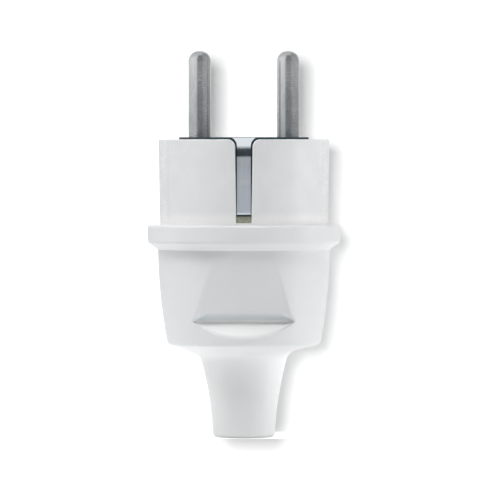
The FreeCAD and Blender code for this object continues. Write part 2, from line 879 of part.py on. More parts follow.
def make_earth_rivet():
    """Rivet from under the bridge up into the earth terminal."""
    body = new_body("earth_rivet")
    profile = outline(
        sketch_on(body, "XZ_Plane"),
        [
            ("0", "-rivet_head_height"),
            ("rivet_head_radius - head_round", "-rivet_head_height"),
            ("rivet_head_radius", "-(rivet_head_height - head_round)", "head_round", LEFT),
            ("rivet_head_radius", "0"),
            ("rivet_radius", "0"),
            ("rivet_radius", "strip_thickness + rivet_depth"),
            ("0", "strip_thickness + rivet_depth"),
        ],
    )
    revolve(body, profile)
    return place(body, y="-rivet_place", z=CORE_FOOT)


def make_pin_retainer():
    """Plate screwed behind the terminal blocks, with funnelled wire holes."""
    body = new_body("pin_retainer")
    side = circle_height(CORE_RADIUS, CORE_HALF)
    front = circle_height(CORE_RADIUS, "retainer_front")
    rear = circle_height(CORE_RADIUS, "core_back")
    notch_x = "(tongue_half + retainer_notch_gap)"
    notch_y = f"({TONGUE_FACE} - retainer_notch_gap)"
    plate = outline(
        sketch_on(body, "XY_Plane", CORE_FOOT),
        [
            (f"-{front}", "-retainer_front", CORE_RADIUS, LEFT),
            (front, "-retainer_front"),
            (CORE_HALF, f"-{side}", CORE_RADIUS, LEFT),
            (CORE_HALF, side),
            (rear, "core_back", CORE_RADIUS, LEFT),
            (notch_x, "core_back"),
            (notch_x, notch_y),
            (f"-{notch_x}", notch_y),
            (f"-{notch_x}", "core_back"),
            (f"-{rear}", "core_back"),
            (f"-{CORE_HALF}", side, CORE_RADIUS, LEFT),
            (f"-{CORE_HALF}", f"-{side}"),
        ],
    )
    pad(body, plate, "retainer_thickness", BACK)
    recess = circle(
        sketch_on(body, "XY_Plane", CORE_FOOT), "0", "-rivet_place", "rivet_head_radius + hole_gap"
    )
    cut(body, recess, "retainer_recess")
    screws = circle_pair(
        sketch_on(body, "XY_Plane", CORE_FOOT),
        "retainer_screw_x",
        "retainer_screw_y",
        "small_screw_radius + hole_gap",
    )
    cut(body, screws, "retainer_thickness")
    back = f"({CORE_FOOT} - retainer_thickness)"
    counterbores = circle_pair(
        sketch_on(body, "XY_Plane", back),
        "retainer_screw_x",
        "retainer_screw_y",
        "small_head_radius + hole_gap",
    )
    cut(body, counterbores, "retainer_counterbore", OUT)
    wires = circle_pair(sketch_on(body, "XY_Plane", back), PIN_X, "0", "retainer_wire_hole / 2")
    circle(wires, "0", "-earth_wire_place", "retainer_wire_hole / 2")
    last = cut(body, wires, "retainer_thickness", OUT)

    def on_wire_mouth(middle, edge):
        return near(middle.z, number(back)) and isinstance(edge.Curve, Part.Circle) and near(
            edge.Curve.Radius, number("retainer_wire_hole / 2")
        )

    bevel_edges(body, last, "retainer_funnel", on_wire_mouth)
    return body


def make_cord_clamp_bar():
    """Saddle bar across the cable, with flat ends for its two screws."""
    body = new_body("cord_clamp_bar")
    outer_face = "(clamp_bar_face + clamp_bar_thickness)"
    arch = "(cable_radius + clamp_arch_wall)"
    saddle = circle_height("cable_radius", "clamp_bar_face")
    crown = circle_height(arch, outer_face)
    section = outline(
        sketch_on(body, "XY_Plane", "clamp_height"),
        [
            ("-clamp_bar_half", f"-{outer_face}"),
            (f"-{crown}", f"-{outer_face}"),
            (crown, f"-{outer_face}", arch, LEFT),
            ("clamp_bar_half", f"-{outer_face}"),
            ("clamp_bar_half", "-clamp_bar_face"),
            (saddle, "-clamp_bar_face"),
            (f"-{saddle}", "-clamp_bar_face", "cable_radius", RIGHT),
            ("-clamp_bar_half", "-clamp_bar_face"),
        ],
    )
    pad(body, section, "clamp_bar_height", BOTH)
    holes = circle_pair(
        sketch_on(body, "XZ_Plane", outer_face),
        "clamp_screw_x",
        "clamp_height",
        "clamp_screw_radius + hole_gap",
    )
    last = cut(body, holes, "clamp_bar_thickness")

    def on_end(middle, edge):
        ends = [vertex.Point for vertex in edge.Vertexes]
        across = len(ends) == 2 and near(ends[0].x, ends[1].x) and near(ends[0].z, ends[1].z)
        return across and near(abs(middle.x), number("clamp_bar_half"))

    round_edges(body, last, "clamp_bar_round", on_end)
    return body


def recess_outlines(sketch, inset):
    """Side view of the front and rear thumb recesses: a tilted floor, a round hollow and a ledge.
    An inset moves all of them towards the plug's axis."""
    floor_round = f"(recess_floor_round + {inset})"
    centre_y = "(recess_reach + recess_floor_round)"
    low_y = f"({centre_y} - {floor_round} * cos(recess_tilt))"
    low_z = f"(recess_height + {floor_round} * sin(recess_tilt))"
    top_y = f"({low_y} + (flange_bottom - {low_z}) * tan(recess_tilt))"
    ledge_y = f"({centre_y} - {floor_round} * sin(recess_ledge))"
    ledge_z = f"(recess_height - {floor_round} * cos(recess_ledge))"
    run = "(flange_radius / 2)"
    end_y = f"({ledge_y} + {run} * cos(recess_ledge))"
    end_z = f"({ledge_z} - {run} * sin(recess_ledge))"
    clear = "(2 * flange_radius)"
    for side, turn in (("", LEFT), ("-", RIGHT)):
        outline(
            sketch,
            [
                (f"{side}{top_y}", "flange_bottom"),
                (f"{side}{low_y}", low_z),
                (f"{side}{ledge_y}", ledge_z, floor_round, turn),
                (f"{side}{end_y}", end_z),
                (f"{side}{clear}", end_z),
                (f"{side}{clear}", "flange_bottom"),
            ],
        )
    return sketch


def make_hood_outside():
    """Outer form of the hood: nozzle, neck, shoulder, swelling grip and flange, with thumb recesses."""
    body = new_body("hood_outside")
    flange_band = "(flange_bottom + flange_edge_height + flange_edge_round)"
    profile = outline(
        sketch_on(body, "XZ_Plane"),
        [
            ("0", "0"),
            ("nozzle_end_radius - nozzle_end_round", "0"),
            ("nozzle_end_radius", "nozzle_end_round", "nozzle_end_round", LEFT),
            ("nozzle_top_radius", "nozzle_top", "nozzle_curve", RIGHT),
            ("neck_radius", "nozzle_top + neck_rise", "neck_round", RIGHT),
            ("shoulder_radius", "grip_bottom - shoulder_drop"),
            ("grip_bottom_radius", "grip_bottom", "shoulder_round", LEFT),
            ("grip_top_radius", "flange_bottom", "grip_bulge", LEFT),
            ("flange_edge_radius", "flange_bottom + flange_edge_height"),
            ("flange_radius", flange_band, "flange_edge_round", LEFT),
            ("flange_radius", "flange_top - flange_top_round"),
            ("flange_radius - flange_top_round", "flange_top", "flange_top_round", LEFT),
            ("0", "flange_top"),
        ],
    )
    revolve(body, profile)
    recesses = cut(
        body, recess_outlines(sketch_on(body, "YZ_Plane"), "0"), f"2 * (flange_radius + {OVERCUT})", BOTH
    )

    def on_recess(middle, edge):
        return isinstance(edge.Curve, Part.BSplineCurve) and middle.z < number("flange_bottom") - SAME_PLACE

    round_edges(body, recesses, "recess_edge_round", on_recess)
    return body


def make_hood_inside():
    """All that is hollow in the hood: cable bore, chamber, the spigot's seat and the screw's way."""
    body = new_body("hood_inside")
    mouth = f"(bore_radius + bore_bevel + {OVERCUT})"
    spigot_foot = "(flange_top - spigot_depth - spigot_gap)"
    profile = outline(
        sketch_on(body, "XZ_Plane"),
        [
            ("0", f"-{OVERCUT}"),
            (mouth, f"-{OVERCUT}"),
            ("bore_radius", "bore_bevel"),
            ("bore_radius", "bore_top"),
            ("shoulder_radius - hood_wall", "hood_floor"),
            ("grip_bottom_radius - hood_wall", "hood_floor + shoulder_round", "shoulder_round", LEFT),
            ("grip_top_radius - hood_wall", spigot_foot, "grip_bulge", LEFT),
            ("spigot_radius + spigot_gap", spigot_foot),
            ("spigot_radius + spigot_gap", f"flange_top + {OVERCUT}"),
            ("0", f"flange_top + {OVERCUT}"),
        ],
    )
    revolve(body, profile)
    recesses = recess_outlines(sketch_on(body, "YZ_Plane"), "hood_wall")
    cut(body, recesses, f"2 * (flange_radius + {OVERCUT})", BOTH)
    boss = circle(
        sketch_on(body, "XZ_Plane", "-(boss_face + boss_gap)"),
        "0",
        "housing_screw_height",
        "hood_boss_radius",
    )
    cut(body, boss, "flange_radius")
    way = circle(
        sketch_on(body, "XZ_Plane", "-flange_radius"),
        "0",
        "housing_screw_height",
        "housing_screw_radius + hole_gap",
    )
    pad(body, way, f"flange_radius - boss_face + {OVERCUT}")
    counterbore = circle(
        sketch_on(body, "XZ_Plane", "-flange_radius"), "0", "housing_screw_height", "housing_counterbore"
    )
    pad(body, counterbore, "flange_radius - housing_screw_seat")
    return body


def make_rear_hood():
    """Soft white hood, one moulding."""
    hood = doc.addObject("Part::Cut", "rear_hood")
    hood.Base = make_hood_outside()
    hood.Tool = make_hood_inside()
    return hood


def make_pieces():
    terminal_z = f"{SEAT} - terminal_screw_drop"
    retainer_seat = f"{CORE_FOOT} - retainer_thickness + retainer_counterbore"
    clamp_seat = "-(clamp_bar_face + clamp_bar_thickness)"
    pieces = [
        make_front_shell(),
        make_contact_carrier(),
        make_earth_bracket(),
        make_earth_terminal(),
        make_earth_rivet(),
        make_pin_retainer(),
        make_cord_clamp_bar(),
        make_housing_nut(),
        make_rear_hood(),
        make_screw(
            "earth_terminal_screw",
            "small",
            "small_screw_length",
            x="earth_block_width / 2",
            y="-earth_wire_place",
            z=f"{BRIDGE_TOP} + earth_screw_rise",
            axis=(0, 1, 0),
            angle=90,
        ),
        make_screw(
            "housing_screw",
            "housing",
            "housing_screw_length",
            y="housing_screw_seat",
            z="housing_screw_height",
            axis=(1, 0, 0),
            angle=-90,
        ),
    ]
    for word, side in (("left", "-"), ("right", "")):
        pieces += [
            make_pin(f"pin_{word}", side),
            make_screw(
                f"terminal_screw_{word}",
                "small",
                "small_screw_length",
                x=f"{side}{PIN_X}",
                y="-block_side / 2",
                z=terminal_z,
                axis=(1, 0, 0),
                angle=90,
            ),
            make_screw(
                f"retainer_screw_{word}",
                "small",
                "retainer_screw_length",
                x=f"{side}retainer_screw_x",
                y="retainer_screw_y",
                z=retainer_seat,
                axis=(1, 0, 0),
                angle=180,
            ),
            make_screw(
                f"cord_clamp_screw_{word}",
                "clamp",
                "clamp_screw_length",
                x=f"{side}clamp_screw_x",
                y=clamp_seat,
                z="clamp_height",
                axis=(1, 0, 0),
                angle=90,
            ),
            make_clamp_nut(f"cord_clamp_nut_{word}", side),
        ]
    return pieces


def check_features():
    """Stops where a feature failed, or a cut took nothing away."""
    for item in doc.Objects:
        if {"Invalid", "Error"} & set(item.State):
            raise RuntimeError(f"{item.Name} ({item.getParentGroup()}) failed: {item.State}")
        if item.TypeId == "PartDesign::Pocket":
            if item.Shape.Volume > item.BaseFeature.Shape.Volume - LEAST_CUT:
                raise RuntimeError(f"{item.Name} cuts nothing")


def export(pieces):
    for piece in pieces:
        if piece.Shape.isNull() or not piece.Shape.isValid() or len(piece.Shape.Solids) != 1:
            raise RuntimeError(f"{piece.Label} is not one sound solid")
    for piece in pieces:
        piece.Shape.exportStep(f"parts/{piece.Label}.step")


pieces = make_pieces()
doc.recompute()
check_features()
export(pieces)
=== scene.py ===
"""Looks of the rewireable type F plug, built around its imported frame, in metres."""

import logging
import math
from collections.abc import Callable, Iterable
from dataclasses import dataclass
from enum import Enum

import bpy
from mathutils import Matrix, Vector


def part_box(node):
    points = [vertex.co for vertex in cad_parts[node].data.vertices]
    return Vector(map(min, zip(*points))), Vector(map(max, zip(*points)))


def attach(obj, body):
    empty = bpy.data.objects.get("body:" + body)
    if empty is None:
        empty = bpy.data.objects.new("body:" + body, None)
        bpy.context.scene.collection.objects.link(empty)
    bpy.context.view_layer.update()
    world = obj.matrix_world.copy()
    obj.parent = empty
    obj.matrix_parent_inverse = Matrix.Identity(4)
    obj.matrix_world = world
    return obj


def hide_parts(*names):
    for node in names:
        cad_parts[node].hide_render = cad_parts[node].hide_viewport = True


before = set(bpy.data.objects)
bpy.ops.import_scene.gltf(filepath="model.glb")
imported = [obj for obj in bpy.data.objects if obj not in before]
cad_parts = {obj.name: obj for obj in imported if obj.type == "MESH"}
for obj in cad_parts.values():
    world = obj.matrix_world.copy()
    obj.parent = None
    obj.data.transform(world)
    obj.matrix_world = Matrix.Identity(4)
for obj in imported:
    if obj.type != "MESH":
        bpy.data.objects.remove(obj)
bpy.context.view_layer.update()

BODY = "root"
MM = 0.001
LOG = logging.getLogger("plug")
SMOOTH_ANGLE = math.radians(32)  # Edges that turn more than this stay sharp.
STRAIGHT = 0.9  # The least share of a face's normal along the way that it faces.
WELD = MM / 1000  # Points that are closer than this become one.
ARC_STEP = 9.0  # The most degrees of an arc in one step.

Colour = tuple[float, float, float]
Point = tuple[float, float, float]
Corner = tuple[float, ...]  # Radius and height, and the radius of the arc that leads there.
Edge = tuple[float, float]  # Where a change starts and where it is complete.
Span = tuple[float, float]  # Where a part starts and where it ends.
Band = tuple[float, float, float, float]  # Where a band starts, is full, starts to fade and ends.


class Side(Enum):
    """Which side of the plug's axis a piece stands on, seen from the front."""

    LEFT = -1
    RIGHT = 1

    @property
    def word(self) -> str:
        """The side's word in the names of nodes."""
        return self.name.lower()


class Facing(Enum):
    """The way that a fastener's head points."""

    FRONT = (0.0, -1.0, 0.0)
    REAR = (0.0, 1.0, 0.0)
    RIGHT = (1.0, 0.0, 0.0)
    DOWN = (0.0, 0.0, -1.0)


class Lit(Enum):
    """What a lamp lights."""

    ALL_BUT_BACKDROP = 1
    BACKDROP = 2


class Wire:
    """An output socket of a shader graph. Arithmetic on wires adds Math nodes."""

    def __init__(self, graph: "Graph", socket: bpy.types.NodeSocket) -> None:
        """Wraps an output socket of a graph."""
        self.graph = graph
        self.socket = socket

    def maths(self, operation: str, *values: "Wire | float") -> "Wire":
        """The result of a Math node with Blender's name of the operation and its values."""
        return self.graph.add("ShaderNodeMath", {"operation": operation}, dict(enumerate(values)))

    def __add__(self, other: "Wire | float") -> "Wire":
        """This plus other."""
        return self.maths("ADD", self, other)

    def __sub__(self, other: "Wire | float") -> "Wire":
        """This less other."""
        return self.maths("SUBTRACT", self, other)

    def __rsub__(self, other: float) -> "Wire":
        """Other less this."""
        return self.maths("SUBTRACT", other, self)

    def __mul__(self, other: "Wire | float") -> "Wire":
        """This times other."""
        return self.maths("MULTIPLY", self, other)

    def __truediv__(self, other: "Wire | float") -> "Wire":
        """This over other."""
        return self.maths("DIVIDE", self, other)

    __radd__ = __add__
    __rmul__ = __mul__

    def size(self) -> "Wire":
        """This without its sign."""
        return self.maths("ABSOLUTE", self)

    def higher(self, other: "Wire") -> "Wire":
        """The higher of this and other."""
        return self.maths("MAXIMUM", self, other)

    def ramp(self, low: float, high: float) -> "Wire":
        """Zero below low, one above high and smooth between.

        Args:
            low: Where the rise starts. It may be above high, for a fall.
            high: Where the rise ends.

        Returns:
            The wire of the rise.
        """
        first, last = sorted((low, high))
        settings = {"interpolation_type": "SMOOTHSTEP"}
        rise = self.graph.add("ShaderNodeMapRange", settings, {0: self, 1: first, 2: last})
        return rise if low <= high else 1.0 - rise

    def band(self, heights: Band) -> "Wire":
        """One inside a band and zero outside it."""
        start, full, fading, end = heights
        return self.ramp(start, full) * self.ramp(end, fading)


class Graph:
    """A shader graph under construction."""

    def __init__(self, tree: bpy.types.NodeTree) -> None:
        """Empties the node tree of a material or the world, and starts on it."""
        tree.nodes.clear()
        self.tree = tree

    def add(
        self,
        kind: str,
        settings: dict[str, object] | None = None,
        sockets: dict[str | int, object] | None = None,
        output: str | int = 0,
    ) -> Wire:
        """Adds a node.

        Args:
            kind: Blender's type name of the node.
            settings: The node's own settings, made first.
            sockets: A value or a wire for each named or numbered input.
            output: Which output is wanted.

        Returns:
            The wire of that output.
        """
        node = self.tree.nodes.new(kind)
        for name, value in (settings or {}).items():
            setattr(node, name, value)
        for name, value in (sockets or {}).items():
            if isinstance(value, Wire):
                self.tree.links.new(value.socket, node.inputs[name])
            elif isinstance(value, tuple) and node.inputs[name].type == "RGBA":
                node.inputs[name].default_value = (*value, 1.0)
            else:
                node.inputs[name].default_value = value
        return Wire(self, node.outputs[output]) if node.outputs else None

    def place(self, stretch: Point = (1.0, 1.0, 1.0), centre: Point = (0.0, 0.0, 0.0)) -> Wire:
        """The place on the piece in millimetres, moved to a centre and stretched.

        Args:
            stretch: How much denser a pattern lies along each axis.
            centre: The point in metres that becomes zero.

        Returns:
            The wire of the place.
        """
        spot = self.add("ShaderNodeTexCoord", output="Object")
        scale = tuple(part / MM for part in stretch)
        shift = tuple(-middle * part for middle, part in zip(centre, scale))
        values = {"Vector": spot, "Scale": scale, "Location": shift}
        return self.add("ShaderNodeMapping", None, values)

    def axis(self, place: Wire, letter: str) -> Wire:
        """The coordinate X, Y or Z of a place."""
        return self.add("ShaderNodeSeparateXYZ", None, {"Vector": place}, letter)

    def noise(
        self, place: Wire, per_mm: float, detail: float = 3.0, harshness: float = 0.5
    ) -> Wire:
        """Soft noise, about a half on average.

        Args:
            place: The wire of the place.
            per_mm: How many blotches there are in a millimetre.
            detail: How many finer layers lie on it.
            harshness: How strong those layers are.

        Returns:
            The wire of the noise.
        """
        values = {"Vector": place, "Scale": per_mm, "Detail": detail, "Roughness": harshness}
        return self.add("ShaderNodeTexNoise", None, values)

    def blend(self, share: Wire, first: "Colour | Wire", second: "Colour | Wire") -> Wire:
        """Mixes two colours.

        Args:
            share: How much of the second colour there is.
            first: The colour at none.
            second: The colour at all.

        Returns:
            The wire of the mixed colour.
        """
        settings = {"data_type": "RGBA", "clamp_factor": True}
        return self.add("ShaderNodeMix", settings, {0: share, 6: first, 7: second}, 2)

    def bump(self, height: Wire, depth: float) -> Wire:
        """The normal of a height from zero to one, where one is so many metres deep."""
        values = {"Height": height, "Strength": 1.0, "Distance": depth}
        return self.add("ShaderNodeBump", None, values)


def blank(name: str) -> tuple[bpy.types.Material, Graph]:
    """A new material and its empty graph."""
    material = bpy.data.materials.new(name)
    material.use_nodes = True
    return material, Graph(material.node_tree)


class Finish:
    """A material on one Principled shader, whose kinds say what goes into the shader."""

    name: str

    def inputs(self, graph: Graph) -> dict[str, object]:
        """A value or a wire for each input of the shader."""
        raise NotImplementedError

    def make(self) -> bpy.types.Material:
        """Makes the material.

        Returns:
            The material.
        """
        material, graph = blank(self.name)
        shader = graph.add("ShaderNodeBsdfPrincipled", None, self.inputs(graph))
        graph.add("ShaderNodeOutputMaterial", None, {"Surface": shader})
        return material


def shade(colour: Colour, share: float) -> Colour:
    """A colour with each part multiplied by a share."""
    return tuple(min(part * share, 1.0) for part in colour)


@dataclass
class MouldMarks:
    """What the mould leaves on white plastic: faint clouding, fine grain and a slow ripple."""

    graph: Graph
    place: Wire
    grain_per_mm: float
    clouds_per_mm: float = 0.09
    ripples_per_mm: float = 0.55
    cloud_edge: Edge = (0.3, 0.7)

    def __post_init__(self) -> None:
        """Draws the marks."""
        self.cloud = self.graph.noise(self.place, self.clouds_per_mm, 2.0)
        self.grain = self.graph.noise(self.place, self.grain_per_mm, 2.0, 0.6)
        self.ripple = self.graph.noise(self.place, self.ripples_per_mm, 1.0)

    def clouded(self, colour: Colour, clouding: float) -> Wire:
        """The colour, with faint darker clouds."""
        dark = shade(colour, 1.0 - clouding)
        return self.graph.blend(self.cloud.ramp(*self.cloud_edge), dark, colour)

    def gloss(self, roughness: float) -> Wire:
        """The roughness, made slightly uneven."""
        return roughness + (self.grain - 0.5) * 0.12 + (self.cloud - 0.5) * 0.1

    def relief(self, depth: float) -> Wire:
        """The normal of the grain and the ripple."""
        return self.graph.bump(self.grain * 0.5 + self.ripple * 2.5, depth)


@dataclass(frozen=True)
class WhiteMoulding(Finish):
    """Glossy white of the engagement body, with painted light at its foot. Heights in millimetres.
    """

    name: str = "body_white"
    colour: Colour = (0.81, 0.825, 0.835)
    # Painted light: the paler colour of the foot stands for light thrown up by the flange's top.
    foot: Colour = (0.93, 0.93, 0.92)
    painted_foot_edge: Edge = (49.0, 46.6)
    roughness: float = 0.27
    grain_per_mm: float = 6.0
    grain_depth: float = 0.004 * MM
    clouding: float = 0.02
    refraction: float = 1.5

    def inputs(self, graph: Graph) -> dict[str, object]:
        """Draws the mould's marks and the painted light at the foot."""
        place = graph.place()
        marks = MouldMarks(graph, place, self.grain_per_mm)
        # Painted light: the body turns paler towards the flange.
        foot = graph.axis(place, "Z").ramp(*self.painted_foot_edge)
        colour = marks.clouded(self.colour, self.clouding)
        return {
            "IOR": self.refraction,
            "Base Color": graph.blend(foot, colour, self.foot),
            "Roughness": marks.gloss(self.roughness),
            "Normal": marks.relief(self.grain_depth),
        }


@dataclass(frozen=True)
class SoftMoulding(Finish):
    """Satin white of the soft hood: painted light on nozzle and ledges, painted shade in creases.
    In millimetres.
    """

    name: str = "hood_white"
    colour: Colour = (0.815, 0.83, 0.84)
    # Painted light: the nozzle is paler, for the light that the flange and the shoulder keep off
    # it.
    nozzle: Colour = (0.92, 0.93, 0.935)
    nozzle_light_edge: Edge = (20.0, 16.5)
    # Painted highlight: the paler colour of the upward-facing ledges, as if lit from above.
    painted_ledge_light: Colour = (0.95, 0.96, 0.955)
    ledge: Band = (21.4, 21.9, 25.2, 25.8)
    # Painted shade: the darker colour in the creases over the ledges.
    painted_crease_shade: Colour = (0.57, 0.625, 0.63)
    crease: Band = (25.35, 25.75, 26.3, 27.1)
    crease_shade_cover: float = 0.8
    crease_shade_patches: float = 0.5
    skin_edge: Edge = (16.45, 15.85)
    roughness: float = 0.46
    ledge_smoothing: float = 0.08
    grain_per_mm: float = 9.0
    grain_depth: float = 0.009 * MM
    clouding: float = 0.025
    refraction: float = 1.5

    def inputs(self, graph: Graph) -> dict[str, object]:
        """Draws the painted light on nozzle and ledges, the painted shade in the creases and the
        mould's marks.
        """
        place = graph.place()
        marks = MouldMarks(graph, place, self.grain_per_mm)
        height = graph.axis(place, "Z")
        values = {"Vector": place, "Scale": (1.0, 1.0, 0.0)}
        across = graph.add("ShaderNodeMapping", None, values)
        settings = {"operation": "LENGTH"}
        radius = graph.add("ShaderNodeVectorMath", settings, {0: across}, "Value")
        sunk = radius.ramp(*self.skin_edge)
        ledge = sunk * height.band(self.ledge)
        patchy = self.crease_shade_cover + (marks.grain - 0.5) * self.crease_shade_patches
        # Painted shade in the creases, made patchy by the grain.
        crease = sunk * height.band(self.crease) * patchy
        colour = marks.clouded(self.colour, self.clouding)
        # Painted light: the hood turns paler towards the nozzle.
        colour = graph.blend(height.ramp(*self.nozzle_light_edge), colour, self.nozzle)
        # Painted highlight: the ledges turn paler.
        colour = graph.blend(ledge, colour, self.painted_ledge_light)
        return {
            "IOR": self.refraction,
            # Painted shade: the creases turn darker.
            "Base Color": graph.blend(crease, colour, self.painted_crease_shade),
            "Roughness": marks.gloss(self.roughness) - ledge * self.ledge_smoothing,
            "Normal": marks.relief(self.grain_depth),
        }


@dataclass(frozen=True)
class TurnedNickel(Finish):
    """Satin nickel on a turned pin, with fine rings from the lathe."""

    name: str
    axis_x: float
    tip_height: float
    base_height: float
    bright: Colour = (0.60, 0.61, 0.615)
    dull: Colour = (0.36, 0.375, 0.385)
    # Painted shade: the darker tip stands for the dark reflection on the dome.
    tip: Colour = (0.40, 0.41, 0.42)
    tip_shade_edge: Edge = (1.8, 0.6)
    roughness: float = 0.24
    ring_depth: float = 0.004 * MM

    def inputs(self, graph: Graph) -> dict[str, object]:
        """Draws the rings, the smears and the painted shade on the tip."""
        centre = (self.axis_x, 0.0, 0.0)
        rings = graph.noise(graph.place((0.06, 0.06, 1.0), centre), 9.0, 3.0, 0.65)
        smears = graph.noise(graph.place((1.0, 1.0, 0.3), centre), 0.55, 4.0, 0.6)
        ringed, smeared = rings - 0.5, smears - 0.5
        height = graph.axis(graph.place(), "Z")
        end = self.tip_height / MM
        start, full = self.tip_shade_edge
        # Paler towards the tip and darker towards the base, with smears and rings.
        bright_share = height.ramp(self.base_height / MM, end) * 0.75 + smeared * 0.9 + ringed * 0.35
        # Painted shade on the tip, for the dark reflection on the dome.
        tip_shade_share = height.ramp(end - start, end - full) * (0.9 + smeared * 0.5)
        nickel = graph.blend(bright_share, self.dull, self.bright)
        return {
            "Metallic": 1.0,
            "Base Color": graph.blend(tip_shade_share, nickel, self.tip),
            "Roughness": self.roughness + ringed * 0.16 + smeared * 0.14,
            "Normal": graph.bump(rings, self.ring_depth),
        }


@dataclass(frozen=True)
class RolledNickel(Finish):
    """Nickel on rolled strip: painted shade in the bend and at the foot, painted highlight on the
    head. In millimetres.
    """

    name: str = "strip_nickel"
    bright: Colour = (0.64, 0.69, 0.75)
    dull_share: float = 0.84
    # The leg is paler towards its bottom.
    leg_paling: Edge = (59.35, 55.35)
    # Painted highlight: the paler colour of the sloping head, for the light from above that it
    # mirrors.
    head: Colour = (0.76, 0.80, 0.84)
    head_highlight_edge: Edge = (62.3, 62.8)
    # Painted shade: the dark colour of the bend and of a line at the foot, for dark reflections and
    # shadow.
    painted_shade: Colour = (0.09, 0.108, 0.125)
    bend: Band = (60.1, 60.65, 61.7, 62.6)
    # Where the painted shadow line lies across the foot of the strip.
    foot_shadow_height: float = 47.85
    painted_foot_edge: Edge = (0.22, 0.05)
    # A paler mottled band across the leg.
    pale_band: Colour = (0.8, 0.81, 0.82)
    pale_band_height: float = 54.8
    pale_band_edge: Edge = (0.9, 0.1)
    roughness: float = 0.33
    mark_depth: float = 0.006 * MM

    def inputs(self, graph: Graph) -> dict[str, object]:
        """Draws the rolling marks, the painted shade and highlight, and the paler band."""
        place = graph.place()
        height = graph.axis(place, "Z")
        rolled = graph.noise(graph.place((1.0, 1.0, 0.04)), 7.0, 3.0, 0.6)
        mottle = graph.noise(place, 2.6, 5.0, 0.62)
        # Painted shadow: a thin dark line at the foot.
        foot = (height - self.foot_shadow_height).size().ramp(*self.painted_foot_edge)
        # Painted shade, mottled in the bend, and a thin painted shadow line at the foot.
        shade_share = height.band(self.bend) * (1.12 + (mottle - 0.5) * 1.3) + foot * 0.95
        pale_band_share = (height - self.pale_band_height).size().ramp(*self.pale_band_edge)
        # Paler with the rolling marks and towards the bottom of the leg.
        bright_share = rolled.ramp(0.3, 0.7) * 0.5 + height.ramp(*self.leg_paling) * 0.5
        nickel = graph.blend(bright_share, shade(self.bright, self.dull_share), self.bright)
        # The leg turns paler in a mottled band.
        nickel = graph.blend(pale_band_share * mottle.ramp(0.42, 0.6) * 0.5, nickel, self.pale_band)
        # Painted highlight on the head.
        nickel = graph.blend(height.ramp(*self.head_highlight_edge), nickel, self.head)
        return {
            "Metallic": 1.0,
            "Base Color": graph.blend(shade_share, nickel, self.painted_shade),
            "Roughness": self.roughness + (rolled - 0.5) * 0.14 + shade_share * 0.12,
            "Normal": graph.bump(rolled + mottle * 0.5, self.mark_depth),
        }


@dataclass(frozen=True)
class DarkMoulding(Finish):
    """Dark petrol thermoset of the insert, with a fine grain and faint lighter flecks."""

    name: str = "petrol_moulding"
    colour: Colour = (0.012, 0.036, 0.046)
    fleck: Colour = (0.035, 0.07, 0.082)
    roughness: float = 0.42
    grain_depth: float = 0.012 * MM
    refraction: float = 1.52

    def inputs(self, graph: Graph) -> dict[str, object]:
        """Draws the flecks and the grain."""
        place = graph.place()
        flecks = graph.noise(place, 5.0, 3.0, 0.7)
        flow = graph.noise(graph.place((1.0, 1.0, 0.35)), 0.35, 3.0)
        speckled = flecks.ramp(0.52, 0.72) * 0.6 + flow.ramp(0.4, 0.7) * 0.35
        return {
            "IOR": self.refraction,
            "Base Color": graph.blend(speckled, self.colour, self.fleck),
            "Roughness": self.roughness + (flecks - 0.5) * 0.2,
            "Normal": graph.bump(flecks + flow * 2.0, self.grain_depth),
        }


@dataclass(frozen=True)
class PlainMetal(Finish):
    """Finish of the small metal parts: brass block and rivet, plated screws and nuts."""

    name: str
    bright: Colour
    dull: Colour
    roughness: float
    blotch_per_mm: float = 0.7
    mark_depth: float = 0.005 * MM

    def inputs(self, graph: Graph) -> dict[str, object]:
        """Draws the patches and the marks."""
        place = graph.place()
        patch = graph.noise(place, self.blotch_per_mm, 4.0, 0.6)
        marks = graph.noise(graph.place((1.0, 1.0, 2.2)), 6.5, 2.0, 0.7)
        share = patch.ramp(0.35, 0.65) * 0.8 + (marks - 0.5) * 0.4
        return {
            "Metallic": 1.0,
            "Base Color": graph.blend(share, self.dull, self.bright),
            "Roughness": self.roughness + (marks - 0.5) * 0.18 + (patch - 0.5) * 0.12,
            "Normal": graph.bump(marks, self.mark_depth),
        }


def deselect() -> None:
    """Leaves object mode's selection empty."""
    bpy.ops.object.select_all(action="DESELECT")


def dress(node: str, material: bpy.types.Material) -> None:
    """Gives a CAD node its finish.

    Args:
        node: The node's name.
        material: What all of it is made of.
    """
    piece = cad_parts[node]
    piece.data.materials.clear()
    piece.data.materials.append(material)
    LOG.info("dressed %s in %s", node, material.name)


def pick(*pieces: bpy.types.Object) -> None:
    """Selects these pieces alone, and makes the first the active one."""
    deselect()
    for piece in pieces:
        piece.select_set(True)
    bpy.context.view_layer.objects.active = pieces[0]


def copy_of(piece: bpy.types.Object) -> bpy.types.Object:
    """A copy of a piece, with a mesh of its own."""
    copy = piece.copy()
    copy.data = piece.data.copy()
    bpy.context.scene.collection.objects.link(copy)
    return copy


def round_faces(
    piece: bpy.types.Object, wanted: Callable[[Vector], bool], radius: float, segments: int = 2
) -> None:
    """Rounds the edges of the faces whose normal passes a test.

    Args:
        piece: The piece, which is the active one.
        wanted: The test.
        radius: How far the rounding reaches.
        segments: How many steps it has.
    """
    bpy.ops.object.mode_set(mode="EDIT")
    bpy.ops.mesh.select_mode(type="FACE")
    bpy.ops.mesh.select_all(action="DESELECT")
    bpy.ops.object.mode_set(mode="OBJECT")
    for face in piece.data.polygons:
        face.select = wanted(face.normal)
    bpy.ops.object.mode_set(mode="EDIT")
    bpy.ops.mesh.bevel(offset=radius, segments=segments, affect="EDGES")
    bpy.ops.object.mode_set(mode="OBJECT")


